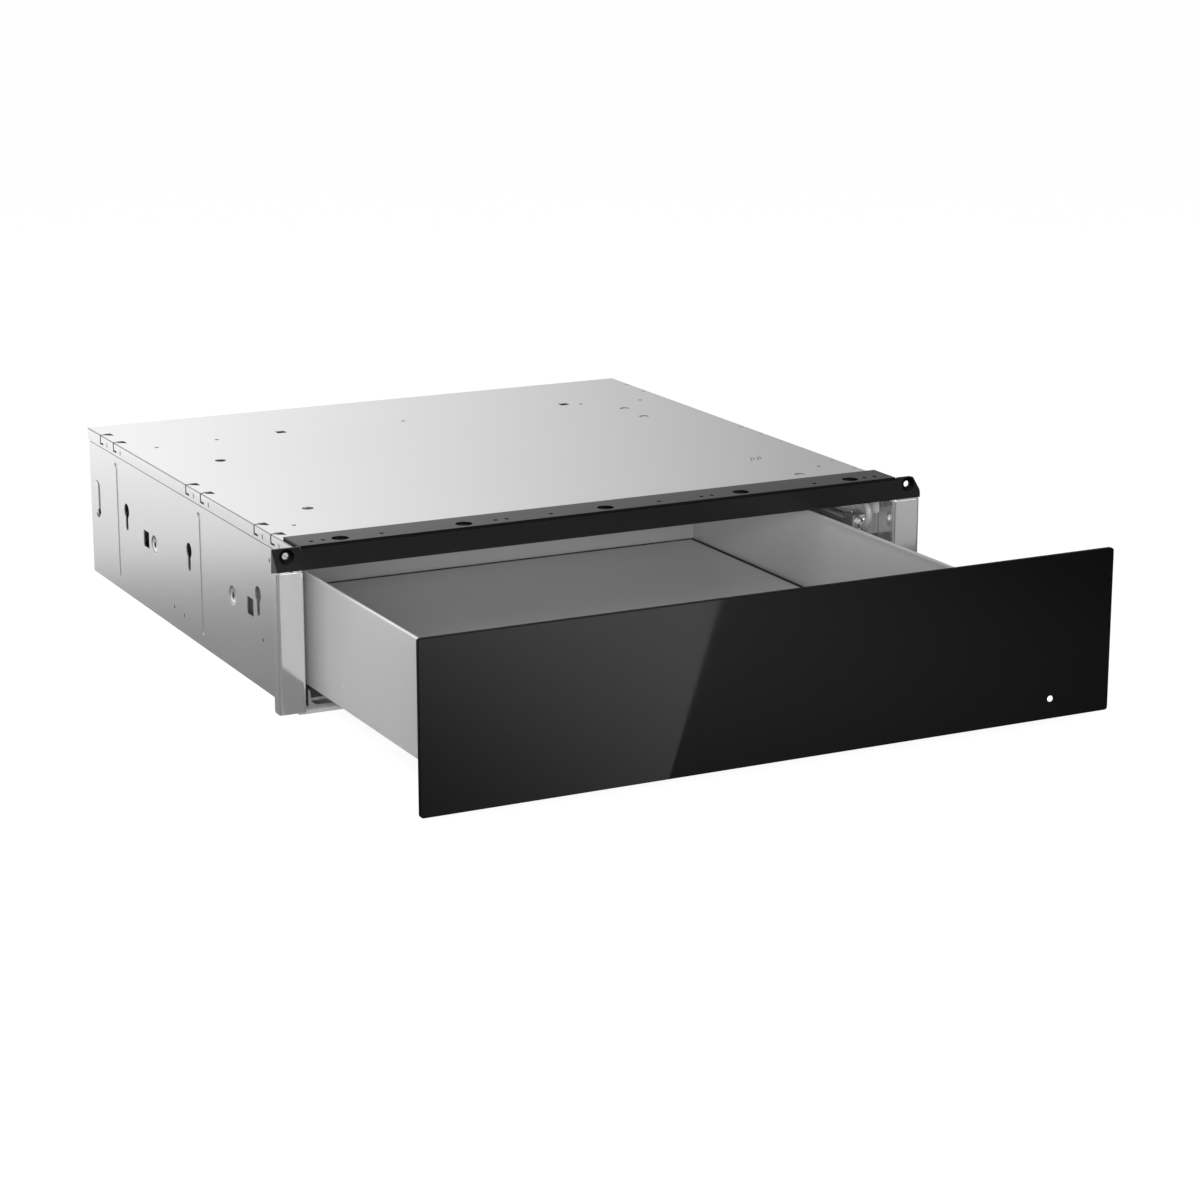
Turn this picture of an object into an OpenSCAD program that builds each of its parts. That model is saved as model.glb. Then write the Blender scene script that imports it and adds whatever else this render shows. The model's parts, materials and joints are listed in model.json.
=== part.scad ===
// Built-in warming drawer, shown pulled part of the way out of its case.
// Millimetres. The origin is the middle of the case's underside, +Z is up and the front faces -Y.
// The drawer's pieces are drawn where they lie when it is shut, and a named opening moves them out.

/* [Case] */
// Distance of each side of the case inside the edge of the front glass
case_in = 22.5; // [18:0.5:27]
// Depth from the front flanges to the rear edge
case_d = 538; // [530:2:560]
// Height from the underside to the top cover
case_h = 137; // [134:1:145]
// Thickness of the case's sheet metal
sheet_t = 1; // [0.8:0.1:1.2]
// Height of the turned-down edge of the top cover
band_h = 11; // [9:1:14]
// Width of the side panels' feet, folded in on the base
foot_w = 12; // [8:1:14]
// Height of the base's turned-up front lip
base_lip_h = 6.5; // [4:0.5:6.5]
// Setback of the base's front lip from the front flanges
base_lip_back = 11; // [8:1:16]

/* [Front posts] */
// Thickness of the front posts' sheet
post_t = 1; // [0.8:0.1:1.5]
// Height of the posts' lower end above the underside
post_low_z = 7; // [7:0.5:12]
// Depth of the posts' inner return along the side panels
post_inner_return = 23; // [16:1:28]
// Depth of the posts' outer return
post_outer_return = 8; // [5:1:12]
// Gap between the posts and the top strip
post_strip_gap = 1; // [0.5:0.5:2]
// Diameter of the small hole in each inner return
post_hole_d = 4; // [3:0.5:5]

/* [Top strip] */
// How far each ear of the strip reaches past the front glass
strip_over = 1; // [0:0.5:2]
// Height of the strip's front wall
strip_h = 19.4; // [17:0.2:20]
// Rise of the strip above the top cover
strip_rise = 3.5; // [3:0.1:5]
// Thickness of the strip
strip_t = 1.5; // [1.2:0.1:2]
// Depth of the strip's top flange
strip_flange_d = 38; // [34:1:44]
// Distance of the top flange's ends inside the top cover's edges
strip_flange_in = 1; // [1:0.5:8]
// Height of the chamfer on the right ear
ear_chamfer_h = 13.5; // [8:0.5:14]
// Width of the chamfer on the right ear
ear_chamfer_w = 8; // [4:0.5:8]
// Distance of the fixing holes from the ears' ends
ear_hole_in = 12.5; // [10:0.5:14]
// Diameter of the fixing holes in the ears
ear_hole_d = 5.5; // [4:0.5:6]
// Drop of the fixing holes from the strip's top
ear_hole_drop = 7; // [6:0.5:9]
// Diameter of the large holes in the top flange
strip_big_hole_d = 14; // [10:1:16]
// Diameter of the small holes in the top flange
strip_small_hole_d = 4; // [3:0.5:5]
// Distance of the flange's holes from its front
strip_hole_back = 13; // [12:1:20]

/* [Drawer] */
// Distance that the drawer is pulled out in this model
drawer_open = 258; // [200:2:300]
// Distance that the drawer can be pulled out in all
full_travel = 400; // [360:5:410]
// Gap between the drawer and the left side panel
drawer_left_gap = 10; // [8:1:12]
// Gap between the drawer and the right side panel
drawer_right_gap = 68; // [66:1:74]
// Height of the drawer's underside
drawer_low_z = 21.3; // [20.5:0.2:22.5]
// Gap between the drawer's rim and the level of the top cover
drawer_top_gap = 23; // [22:1:32]
// Room between the shut drawer and the rear of the case
box_rear_gap = 44; // [44:2:70]
// Thickness of the drawer's sheet
wall_t = 1; // [0.8:0.1:1.2]
// Width of the folded rim on the drawer's walls
rim_w = 3; // [2:0.5:5]
// Height of the warming plate's top above the drawer's underside
floor_rise = 22.7; // [22:0.1:30]
// Thickness of the warming plate
plate_t = 2.5; // [2:0.5:3]
// Width of the seal round the warming plate
seal_w = 2.5; // [1.5:0.5:4]
// Drop of the seal below the plate's top
seal_drop = 0.6; // [0.2:0.2:1]
// Width of the ledges that carry the plate
ledge_w = 8; // [6:1:12]
// Thickness of the insulation mat
mat_t = 9; // [6:0.5:9]

/* [Front] */
// Width of the front glass
glass_w = 595; // [590:1:597]
// Drop of the front glass's upper edge below the top of the strip
glass_top_drop = 2.4; // [1:0.2:6]
// Thickness of the front glass
glass_t = 4; // [3:0.5:5]
// Height of the glass's lower edge
glass_low_z = 5.5; // [5:0.5:8]
// Radius of the glass's corners
glass_r = 2.5; // [1.5:0.5:4]
// Thickness of the bond between glass and frame
bond_t = 1; // [0.5:0.5:2]
// Width of the bond
bond_w = 5; // [3:0.5:5]
// Distance of the frame's edge inside the glass's edge
frame_inset = 8; // [6:0.5:10]
// Depth of the steel frame behind the glass
frame_d = 15; // [12:1:18]
// Thickness of the frame's sheet
frame_t = 1; // [0.8:0.1:1.5]
// Gap behind the shut front, which lets a push open it
push_gap = 4; // [3:0.5:5]
// Thickness of the rubber buffers behind the front
buffer_t = 1.5; // [1:0.5:2]
// Diameter of the rubber buffers
buffer_d = 10; // [8:1:12]
// Distance of the status light from the glass's right edge
light_inset = 55.6; // [40:0.2:70]
// Height of the status light above the glass's lower edge
light_rise = 16.4; // [15:0.2:24]
// Diameter of the status light's lens
light_d = 6; // [4:0.5:8]

/* [Rails] */
// Room between the shut rails and the rear of the case
rail_rear_gap = 64; // [56:2:90]
// Width of the outer rail member
rail_w = 38; // [36:1:40]
// Thickness of the rails' steel
rail_t = 1.5; // [1.2:0.1:1.6]
// Distance of the rails from the drawer's walls
rail_inset = 20; // [17:1:23]
// Setback of the rails from the front flanges
rail_back = 14; // [13:1:20]
// Diameter of the rails' balls
ball_d = 4.2; // [3.8:0.1:4.4]
// Clearance on each side of a ball
ball_clear = 0.1; // [0.05:0.05:0.2]
// Length of a ball cage
cage_l = 200; // [160:5:220]
// Balls along each side of a cage
ball_count = 4; // [3:1:6]
// Thickness of the cage
cage_t = 0.6; // [0.5:0.1:0.8]

/* [Controls] */
// Length of the control housing behind the front
housing_l = 86; // [80:1:90]
// Gap between the control housing and the right side panel
housing_gap = 5; // [4:1:8]
// Height of the control housing's underside
housing_low_z = 12; // [10:1:14]
// Drop of the control housing's top below the drawer's rim
housing_drop = 28; // [26:1:32]
// Wall thickness of the control housing
housing_t = 2; // [1.5:0.5:3]
// Diameter of the selector knob
knob_d = 28; // [22:1:30]
// Height of the selector knob
knob_h = 14; // [10:1:16]
// Diameter of the selector's shaft
shaft_d = 6; // [5:0.5:8]
// Length of the rocker of the power switch
rocker_l = 19.2; // [16:0.2:20]
// Width of the rocker of the power switch
rocker_w = 13.4; // [11:0.2:15]

/* [Supply] */
// Diameter of the flexible conduit
conduit_d = 12; // [9:1:14]
// Drop of the conduit's fixed end below the level of the top cover
conduit_drop = 41; // [39:1:43]
// Height of the conduit's moving end
conduit_low_z = 28; // [26:1:34]
// Distance of the conduit from the right side panel
conduit_inset = 18; // [16:1:22]
// Diameter of the supply lead
lead_d = 6; // [5:0.5:8]
// Bore of the cable gland
gland_bore_d = 9; // [7:0.5:10]

/* [Latch] */
// Diameter of the latch plunger
plunger_d = 8.9; // [8:0.1:9.5]
// Travel of the latch plunger
plunger_travel = 6; // [4:0.5:6]
// Gap between the shut drawer's striker and the plunger
striker_gap = 0.5; // [0.5:0.1:1]
// Diameter of the latch spring's wire
spring_wire_d = 0.9; // [0.7:0.1:1]
// Turns of the latch spring
spring_turns = 6; // [5:1:7]

/* [Hidden] */

LEFT = -1;
RIGHT = 1;
SMOOTH = 48;
// How far a cut runs past the faces that it opens
over = 1;
// Small gap between pieces that face each other without touching
part_gap = 1;
// How far a flush shank stays inside the face that it ends at
flush_gap = 0.2;
// Clearance round a screw or a rivet in its hole
hole_clear = 0.1;
// Clearance of a shaft or a pin that turns or slides in its bore
run_clear = 0.05;

// Case
case_w = glass_w - 2 * case_in;
front_y = -case_d / 2;
rear_y = case_d / 2;
band_x = case_w / 2;
panel_x = band_x - sheet_t;
inner_x = panel_x - sheet_t;
cover_low_z = case_h - sheet_t;
rear_panel_y = rear_y - 2 * sheet_t;
base_front_y = front_y + base_lip_back;
strip_top_z = case_h + strip_rise;
strip_low_z = strip_top_z - strip_h;
strip_wall_y = front_y + strip_t;
panel_front_y = front_y + max(strip_t, post_t);
post_top_z = strip_low_z - post_strip_gap;
post_outer_x = glass_w / 2 + strip_over;
ear_hole_x = post_outer_x - ear_hole_in;
post_inner_x = inner_x - post_t;
post_wall_y = front_y + post_t;
post_bend_r = 6;
post_fold_d = 6;
post_hole_back = 6.8;
post_hole_height_share = 0.7577;
cover_front_flange_h = 11;
cover_flange_short = 7;
strip_rest_h = 1.5;
strip_big_hole_shares = [-0.4282, -0.2327, 0, 0.2327, 0.4282];
strip_small_hole_shares = [0.0909, 0.1636, 0.1818, 0.3636, 0.4545, 0.4727];
ear_return_d = 4;

// Places on the side panels and the cover, as shares of the case's width, depth and height.
// Depth shares count back from the front flanges, height shares up from the underside.
panel_rib_depth_shares = [0.8498, 0.4368];
panel_rib_low_share = 0.0985;
panel_rib_top_share = 0.8467;
panel_rib_w = 2;
panel_rib_depth = 0.4;
panel_rib_hook = 6;
keyhole_depth_shares = [0.8043, 0.4931, 0.1833];
keyhole_height_share = 0.5766;
keyhole_tail_share = 0.4438;
keyhole_head_d = 10;
keyhole_tail_w = 4;
window_depth_shares = [0.7045, 0.2184];
window_height_share = 0.4701;
window_side = 13;
round_depth_shares = [0.6639, 0.2957];
round_height_share = 0.4672;
round_d = 11;
round_depth = 0.4;
round_hole_d = 4;
dot_place_shares = [[0.5734, 0.1365], [0.526, 0.1241], [0.1307, 0.8299], [0.1667, 0.3095]];
dot_d = 3.5;
hook_slot_depth_share = 0.961;
hook_slot_low_share = 0.4526;
hook_slot_top_share = 0.6204;
hook_hole_depth_share = 0.9517;
hook_slot_w = 5;
slit_depth_shares = [0.9275, 0.8569, 0.4926, 0.4238, 0.1868, 0.1171];
slit_dot_depth_shares = [0.8922, 0.8216, 0.4572, 0.3885, 0.1524, 0.0836];
slit_w = 1.2;
slit_top_l = 7;
slit_low_h = 8.5;
slit_foot_l = 4;
slit_end_d = 3.5;
slit_dot_h = 5;
cover_small_hole_shares = [[-0.4485, 0.7862], [-0.3385, 0.8011], [0, 0.8048], [0.3385, 0.8011], [0.4485, 0.7862],
                           [-0.4485, 0.1561], [0.4485, 0.1561]];
cover_small_hole_d = 4;
cover_square_hole_shares = [[-0.2205, 0.8126], [0.3105, 0.813]];
cover_square_side = 9;
cover_round_hole_shares = [[-0.3898, 0.6405], [-0.3898, 0.2515], [0.3896, 0.7299], [0.3913, 0.1173],
                           [0.3869, 0.6504]];
cover_round_hole_d = 10;
cover_rivet_shares = [[0.3933, 0.2546], [0.3813, 0.2546]];
cover_rivet_hole_d = 3;
rivet_head_d = 5;
rivet_head_h = 1;
foot_rivet_d = 4;
foot_rivet_head_d = 7;
foot_rivet_shares = [0.12, 0.5, 0.88];
case_screw_shares = [-1, -0.35, 0.35, 1];
case_screw_gap = 9;
case_screw_d = 3.5;
case_screw_head_d = 7;
case_screw_head_h = 1.2;
case_screw_l = 6;

// Drawer
drawer_left_x = -(inner_x - drawer_left_gap);
drawer_right_x = inner_x - drawer_right_gap;
drawer_mid_x = (drawer_left_x + drawer_right_x) / 2;
box_left_x = drawer_left_x + wall_t;
box_right_x = drawer_right_x - wall_t;
drawer_top_z = case_h - drawer_top_gap;
front_in_y = front_y - push_gap;
drawer_back_y = rear_y - box_rear_gap;
box_front_y = front_in_y + wall_t;
box_back_y = drawer_back_y - wall_t;
pan_top_z = drawer_low_z + wall_t;
plate_top_z = drawer_low_z + floor_rise;
plate_low_z = plate_top_z - plate_t;
mat_gap = 1;
mat_top_z = pan_top_z + mat_t;

// Front
frame_front_y = front_in_y - frame_d;
bond_front_y = frame_front_y - bond_t;
glass_front_y = bond_front_y - glass_t;
glass_x = glass_w / 2;
glass_top_z = strip_top_z - glass_top_drop;
frame_x = glass_x - frame_inset;
frame_low_z = glass_low_z + frame_inset;
frame_top_z = glass_top_z - frame_inset;
light_x = glass_x - light_inset;
light_z = glass_low_z + light_rise;
light_clear = 0.3;
light_proud = 0.3;
board_gap = 3;
board_t = 1.6;
status_board_w = 24;
status_board_h = 14;
standoff_d = 4;
front_screw_d = 4;
front_screw_head_d = 7;
front_screw_head_h = 2.2;
front_screw_margin = 14;
front_screw_shares = [0.08, 0.5, 0.92];
front_screw_l = 8;
buffer_inset = 11;
buffer_rise = 18;

// Rails
rail_xs = [drawer_left_x + rail_inset + rail_w / 2, drawer_right_x - rail_inset - rail_w / 2];
rail_front_y = front_y + rail_back;
rail_l = case_d - rail_back - rail_rear_gap;
rail_mid_y = rail_front_y + rail_l / 2;
rail_low_z = sheet_t;
gap_w = ball_d + 2 * ball_clear;
outer_in_x = rail_w / 2 - rail_t;
middle_out_x = outer_in_x - gap_w;
middle_in_x = middle_out_x - rail_t;
inner_out_x = middle_in_x - gap_w;
inner_in_x = inner_out_x - rail_t;
cage_gap = 0.4;
outer_web_z = rail_low_z + rail_t;
outer_cage_z = outer_web_z + cage_gap;
middle_low_z = outer_cage_z + cage_t + cage_gap;
middle_web_z = middle_low_z + rail_t;
inner_cage_z = middle_web_z + cage_gap;
inner_low_z = inner_cage_z + cage_t + cage_gap;
inner_web_z = drawer_low_z - rail_t;
outer_ball_z = middle_web_z + ball_d / 2;
inner_ball_z = inner_low_z + ball_d;
cage_over_ball = 1.5;
rail_lip = 1.2;
outer_top_z = outer_ball_z + ball_d / 2 + cage_over_ball + 2 * rail_t;
middle_top_z = inner_ball_z + ball_d / 2 + cage_over_ball;
rail_tab_w = 11;
rail_tab_l = 18;
rail_tab_shares = [0.08, 0.5, 0.92];
rail_screw_d = 4;
rail_screw_head_d = 7;
rail_screw_head_h = 2.2;
rail_rivet_shares = [0.12, 0.5, 0.88];
rail_rivet_d = 5;
rail_rivet_head_d = 8;
rail_rivet_head_h = 1.5;
// Share of the drawer's travel that each moving rail member makes
MIDDLE_SHARE = 0.5;
CAGE_OUTER_SHARE = 0.25;
CAGE_INNER_SHARE = 0.75;

// Heater
heater_d = 6.5;
heater_passes = 6;
heater_margin = 28;
heater_end_gap = 68;
heater_pitch = (box_back_y - box_front_y - 2 * heater_end_gap) / (heater_passes - 1);
heater_first_y = box_front_y + heater_end_gap;
heater_left_x = box_left_x + heater_margin + heater_pitch / 2;
heater_right_x = box_right_x - heater_margin - heater_pitch / 2;
heater_z = plate_low_z - heater_d / 2 - hole_clear;
heater_end_x = box_right_x - heater_margin / 2;
clip_t = 0.8;
clip_w = 14;
clip_x_shares = [0.25, 0.75];
heater_lead_d = 4;
lead_step = 12;
sensor_d = 5;
sensor_l = 40;
cutout_d = 16;
cutout_h = 8;
cutout_ear_w = 8;
under_mid_y = (box_front_y + box_back_y) / 2;

// Controls
housing_right_x = inner_x - housing_gap;
housing_left_x = drawer_right_x;
housing_back_y = front_in_y + housing_l;
housing_top_z = drawer_top_z - housing_drop;
lid_t = 2.5;
housing_lid_z = housing_top_z - lid_t;
knob_margin = 6;
knob_x = housing_left_x + knob_d / 2 + knob_margin;
knob_y = housing_back_y - knob_d / 2 - 2 * knob_margin;
knob_rib_w = 5;
knob_rib_h = 3;
shaft_clear = 0.5;
knob_gap = 1;
knob_bore_l = 10;
switch_side = 26;
switch_h = 18;
rocker_r = rocker_l / 2;
rocker_clear = 0.3;
rocker_wall = 2;
rocker_frame_l = rocker_l + 2 * rocker_clear + 2 * rocker_wall;
rocker_frame_w = rocker_w + 2 * rocker_clear + 2 * rocker_wall;
rocker_x = knob_x;
rocker_y = front_in_y + rocker_frame_l / 2 + knob_margin;
rocker_flange = 1.5;
rocker_frame_h = 14;
rocker_pin_d = 3;
rocker_pivot_z = housing_top_z - part_gap;
rocker_low = 4;
rocker_high = 5;
rocker_tip = 2.5;
circuit_low_z = 40;
circuit_margin = 6;
circuit_part_shares = [[0.3, 0.3], [0.7, 0.3], [0.4, 0.7]];
circuit_part_sizes = [[18, 14, 16], [12, 20, 12], [24, 10, 8]];
circuit_post_d = 5;
circuit_post_in = 2 * circuit_margin;
circuit_post_xs = [housing_left_x + circuit_post_in, housing_right_x - circuit_post_in];
circuit_post_ys = [front_in_y + circuit_post_in, housing_back_y - circuit_post_in];
boss_l = 8;
boss_wall = 3;
boss_d = conduit_d + 2 * boss_wall;

// Supply
conduit_x = inner_x - conduit_inset;
conduit_top_z = case_h - conduit_drop;
conduit_r = (conduit_top_z - conduit_low_z) / 2;
clip_l = 16;
clip_back = post_inner_return + part_gap;
clip_front_y = front_y + clip_back;
conduit_end_y = clip_front_y + clip_l;
conduit_wall = 1.5;
// Length of the conduit's two straight runs together, taken up whole when the drawer is full open
conduit_runs = full_travel - drawer_open + (conduit_end_y - (housing_back_y - drawer_open)) + 2 * clip_back;
conduit_bend_y = (conduit_runs + conduit_end_y + housing_back_y - drawer_open) / 2;
clip_ring_t = 3;
clip_plate_t = 1.5;
clip_plate_h = 26;
lead_bend_r = 11;
lead_z = conduit_top_z + 2 * lead_bend_r;
terminal_l = 42;
terminal_w = 44;
terminal_h = 46;
terminal_t = 1.5;
terminal_right_x = inner_x;
terminal_left_x = terminal_right_x - terminal_w;
terminal_front_y = rear_panel_y - terminal_l;
terminal_gap = 4;
terminal_top_z = cover_low_z - terminal_gap;
terminal_low_z = terminal_top_z - terminal_h;
terminal_block_h = 16;
terminal_block_l = 18;
terminal_ways = 3;
terminal_block_inset = 5;
terminal_hole_d = 4;
gland_x = (terminal_left_x + terminal_right_x) / 2;
gland_wall = 4;
gland_rim = 3;
gland_flange_out = 1.5;
gland_d = gland_bore_d + 2 * gland_wall;
gland_flange_d = gland_d + 2 * gland_rim;
gland_in = 12;
gland_nut_d = gland_d + 2 * gland_rim;
gland_z = terminal_low_z + terminal_t + gland_nut_d / 2 + part_gap;
gland_nut_t = 5;
vent_shares = [-0.3273, -0.2545, -0.1818, 0.0727, 0.1455, 0.2182];
vent_w = 30;
vent_h = 3;
vent_rows = 4;
vent_pitch = 9;
vent_low_share = 0.438;

// Latch
latch_x = drawer_mid_x;
latch_w = 36;
latch_h = 44;
latch_z = 34;
striker_t = 1.5;
striker_w = 24;
striker_h = 20;
plunger_tip_y = drawer_back_y + striker_t + striker_gap;
latch_front_y = plunger_tip_y + plunger_travel + part_gap;
latch_bore_back = 3;
latch_bore_end_y = rear_panel_y - latch_bore_back;
plunger_l = 20;
plunger_end_y = plunger_tip_y + plunger_l;
spring_r = plunger_d / 2 - spring_wire_d;
spring_rings = 16;
spring_sides = 8;

// A place a share of the case's depth back from its front flanges
function back_y(share) = front_y + share * case_d;

module block(lo, hi) {
    translate(lo) cube(hi - lo);
}

module on_side(side) {
    mirror([side < 0 ? 1 : 0, 0, 0]) children();
}

module rod_y(x, y0, y1, z, d) {
    translate([x, y0, z]) rotate([-90, 0, 0]) cylinder(d = d, h = y1 - y0, $fn = SMOOTH);
}

module rod_x(x0, x1, y, z, d) {
    translate([x0, y, z]) rotate([0, 90, 0]) cylinder(d = d, h = x1 - x0, $fn = SMOOTH);
}

module rod_z(x, y, z0, z1, d) {
    translate([x, y, z0]) cylinder(d = d, h = z1 - z0, $fn = SMOOTH);
}

module pulled_out(share = 1) {
    translate([0, -drawer_open * share, 0]) children();
}

// A rectangle in X and Z with round corners, solid from y0 to y1
module rounded_front(x, z0, z1, y0, y1, r) {
    translate([0, y1, 0]) rotate([90, 0, 0]) linear_extrude(y1 - y0) {
        translate([-x + r, z0]) square([2 * (x - r), z1 - z0]);
        translate([-x, z0 + r]) square([2 * x, z1 - z0 - 2 * r]);
        for (cx = [-x + r, x - r], cz = [z0 + r, z1 - r]) translate([cx, cz]) circle(r = r, $fn = SMOOTH);
    }
}

// Case

module base_plate() {
    color([0.78, 0.79, 0.80]) difference() {
        union() {
            block([-inner_x, base_front_y, 0], [inner_x, rear_y - sheet_t, sheet_t]);
            block([-inner_x, base_front_y, 0], [inner_x, base_front_y + sheet_t, base_lip_h]);
        }
        for_rail_screws() rod_z(0, 0, -over, sheet_t + over, rail_screw_d + 2 * hole_clear);
        for_foot_rivets() rod_z(0, 0, -over, sheet_t + over, foot_rivet_d + 2 * hole_clear);
        for (x = rail_xs)
            block([x - outer_in_x, base_front_y - over, outer_web_z],
                  [x + outer_in_x, base_front_y + sheet_t + over, base_lip_h + over]);
    }
}

module keyhole_cut(y) {
    z = keyhole_height_share * case_h;
    rod_x(inner_x - over, panel_x + over, y, z, keyhole_head_d);
    block([inner_x - over, y - keyhole_tail_w / 2, keyhole_tail_share * case_h],
          [panel_x + over, y + keyhole_tail_w / 2, z]);
}

module rib_cut(y) {
    x0 = panel_x - panel_rib_depth;
    top_z = panel_rib_top_share * case_h;
    block([x0, y - panel_rib_w / 2, panel_rib_low_share * case_h], [panel_x + over, y + panel_rib_w / 2, top_z]);
    block([x0, y - panel_rib_w / 2, top_z - panel_rib_w], [panel_x + over, y + panel_rib_hook, top_z]);
}

module window_cut(y) {
    z = window_height_share * case_h;
    block([inner_x - over, y - window_side / 2, z - window_side / 2],
          [panel_x + over, y + window_side / 2, z + window_side / 2]);
}

module round_cut(y) {
    z = round_height_share * case_h;
    rod_x(inner_x - over, panel_x + over, y, z, round_hole_d);
    rod_x(panel_x - round_depth, panel_x + over, y, z, round_d);
}

module hook_cut() {
    y = back_y(hook_slot_depth_share);
    low_z = hook_slot_low_share * case_h;
    rod_x(inner_x - over, panel_x + over, back_y(hook_hole_depth_share), low_z, hook_slot_w);
    block([inner_x - over, y - slit_w / 2, low_z],
          [panel_x + over, y + slit_w / 2, hook_slot_top_share * case_h]);
}

// The right-hand panel: the left one is its mirror image
module side_panel() {
    color([0.84, 0.85, 0.86]) difference() {
        union() {
            block([inner_x, panel_front_y, 0], [panel_x, rear_y - sheet_t, cover_low_z]);
            block([inner_x - foot_w, base_front_y + sheet_t, sheet_t], [inner_x, rear_panel_y, 2 * sheet_t]);
        }
        for (share = keyhole_depth_shares) keyhole_cut(back_y(share));
        for_foot_rivets() rod_z(0, 0, 0, 2 * sheet_t + over, foot_rivet_d + 2 * hole_clear);
        for (share = panel_rib_depth_shares) rib_cut(back_y(share));
        for (share = window_depth_shares) window_cut(back_y(share));
        for (share = round_depth_shares) round_cut(back_y(share));
        for (p = dot_place_shares) rod_x(inner_x - over, panel_x + over, back_y(p[0]), p[1] * case_h, dot_d);
        hook_cut();
    }
}

module slit_cut(y) {
    low_z = case_h - slit_low_h;
    block([band_x - slit_top_l, y - slit_w / 2, cover_low_z - over], [band_x + over, y + slit_w / 2, case_h + over]);
    block([panel_x - over, y - slit_w / 2, low_z], [band_x + over, y + slit_w / 2, case_h + over]);
    block([panel_x - over, y - slit_foot_l, low_z], [band_x + over, y + slit_w / 2, low_z + slit_w]);
    rod_z(band_x - slit_top_l, y, cover_low_z - over, case_h + over, slit_end_d);
}

module cover_holes(place_shares, d) {
    for (p = place_shares) rod_z(p[0] * case_w, back_y(p[1]), cover_low_z - over, case_h + over, d);
}

module top_cover() {
    flange_x = inner_x - cover_flange_short;
    color([0.90, 0.90, 0.91]) difference() {
        union() {
            block([-band_x, strip_wall_y, cover_low_z], [band_x, rear_y, case_h]);
            for (side = [LEFT, RIGHT]) on_side(side)
                block([panel_x, strip_wall_y, case_h - band_h], [band_x, rear_y, case_h]);
            block([-band_x, rear_y - sheet_t, case_h - band_h], [band_x, rear_y, case_h]);
            block([-flange_x, strip_wall_y, case_h - cover_front_flange_h],
                  [flange_x, strip_wall_y + sheet_t, case_h]);
        }
        for (side = [LEFT, RIGHT]) on_side(side) {
            for (share = slit_depth_shares) slit_cut(back_y(share));
            for (share = slit_dot_depth_shares)
                block([panel_x - over, back_y(share) - slit_w / 2, case_h - slit_low_h],
                      [band_x + over, back_y(share) + slit_w / 2, case_h - slit_low_h + slit_dot_h]);
        }
        for_case_screws() rod_y(0, rear_y - sheet_t - over, rear_y + over, 0, case_screw_d + 2 * hole_clear);
        cover_holes(cover_small_hole_shares, cover_small_hole_d);
        cover_holes(cover_round_hole_shares, cover_round_hole_d);
        cover_holes(cover_rivet_shares, cover_rivet_hole_d);
        for (p = cover_square_hole_shares) translate([p[0] * case_w, back_y(p[1]), 0])
            block([-cover_square_side / 2, -cover_square_side / 2, cover_low_z - over],
                  [cover_square_side / 2, cover_square_side / 2, case_h + over]);
    }
}

module rear_panel() {
    color([0.82, 0.83, 0.84]) difference() {
        block([-inner_x, rear_panel_y, sheet_t], [inner_x, rear_panel_y + sheet_t, cover_low_z]);
        for_case_screws() rod_y(0, rear_panel_y - over, rear_y, 0, case_screw_d + 2 * hole_clear);
        rod_y(gland_x, rear_panel_y - over, rear_y, gland_z, gland_d + 2 * hole_clear);
        for (share = vent_shares, row = [0 : vent_rows - 1])
            translate([share * case_w, 0, vent_low_share * case_h + row * vent_pitch])
                block([0, rear_panel_y - over, 0], [vent_w, rear_y, vent_h]);
    }
}

// The right-hand post: the left one is its mirror image
module front_post() {
    hole_z = post_hole_height_share * case_h;
    color([0.80, 0.81, 0.82]) difference() {
        union() {
            block([post_inner_x, front_y, post_low_z], [post_outer_x, post_wall_y, post_top_z]);
            block([post_outer_x - post_t, front_y, post_low_z],
                  [post_outer_x, front_y + post_outer_return, post_top_z]);
            block([post_inner_x, front_y, post_low_z], [inner_x, front_y + post_inner_return, post_top_z]);
            block([panel_x, front_y, post_top_z - post_t], [post_outer_x, front_y + post_fold_d, post_top_z]);
        }
        rod_x(post_inner_x - over, panel_x, front_y + post_hole_back, hole_z, post_hole_d);
    }
}

module ear_cut() {
    translate([0, strip_wall_y + over, 0]) rotate([90, 0, 0]) linear_extrude(strip_t + 2 * over) polygon([
        [post_outer_x - ear_chamfer_w, strip_top_z + over],
        [post_outer_x - ear_chamfer_w, strip_top_z],
        [post_outer_x, strip_top_z - ear_chamfer_h],
        [post_outer_x + over, strip_top_z - ear_chamfer_h],
        [post_outer_x + over, strip_top_z + over]
    ]);
}

module top_strip() {
    flange_x = band_x - strip_flange_in;
    flange_y = front_y + strip_flange_d;
    flange_z = strip_top_z - strip_t;
    color([0.10, 0.10, 0.11]) difference() {
        union() {
            block([-post_outer_x, front_y, strip_low_z], [post_outer_x, strip_wall_y, strip_top_z]);
            block([-flange_x, front_y, flange_z], [flange_x, flange_y, strip_top_z]);
            block([-flange_x, flange_y - strip_rest_h, case_h], [flange_x, flange_y, strip_top_z]);
            for (side = [LEFT, RIGHT]) on_side(side)
                block([post_outer_x - strip_t, front_y, strip_low_z],
                      [post_outer_x, front_y + ear_return_d, strip_top_z - ear_chamfer_h]);
        }
        ear_cut();
        for (side = [LEFT, RIGHT]) on_side(side) {
            rod_y(ear_hole_x, front_y - over, strip_wall_y + over, strip_top_z - ear_hole_drop, ear_hole_d);
            for (share = strip_small_hole_shares)
                rod_z(share * case_w, front_y + strip_hole_back, case_h, strip_top_z + over, strip_small_hole_d);
        }
        for (share = strip_big_hole_shares)
            rod_z(share * case_w, front_y + strip_hole_back, case_h, strip_top_z + over, strip_big_hole_d);
    }
}

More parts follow.
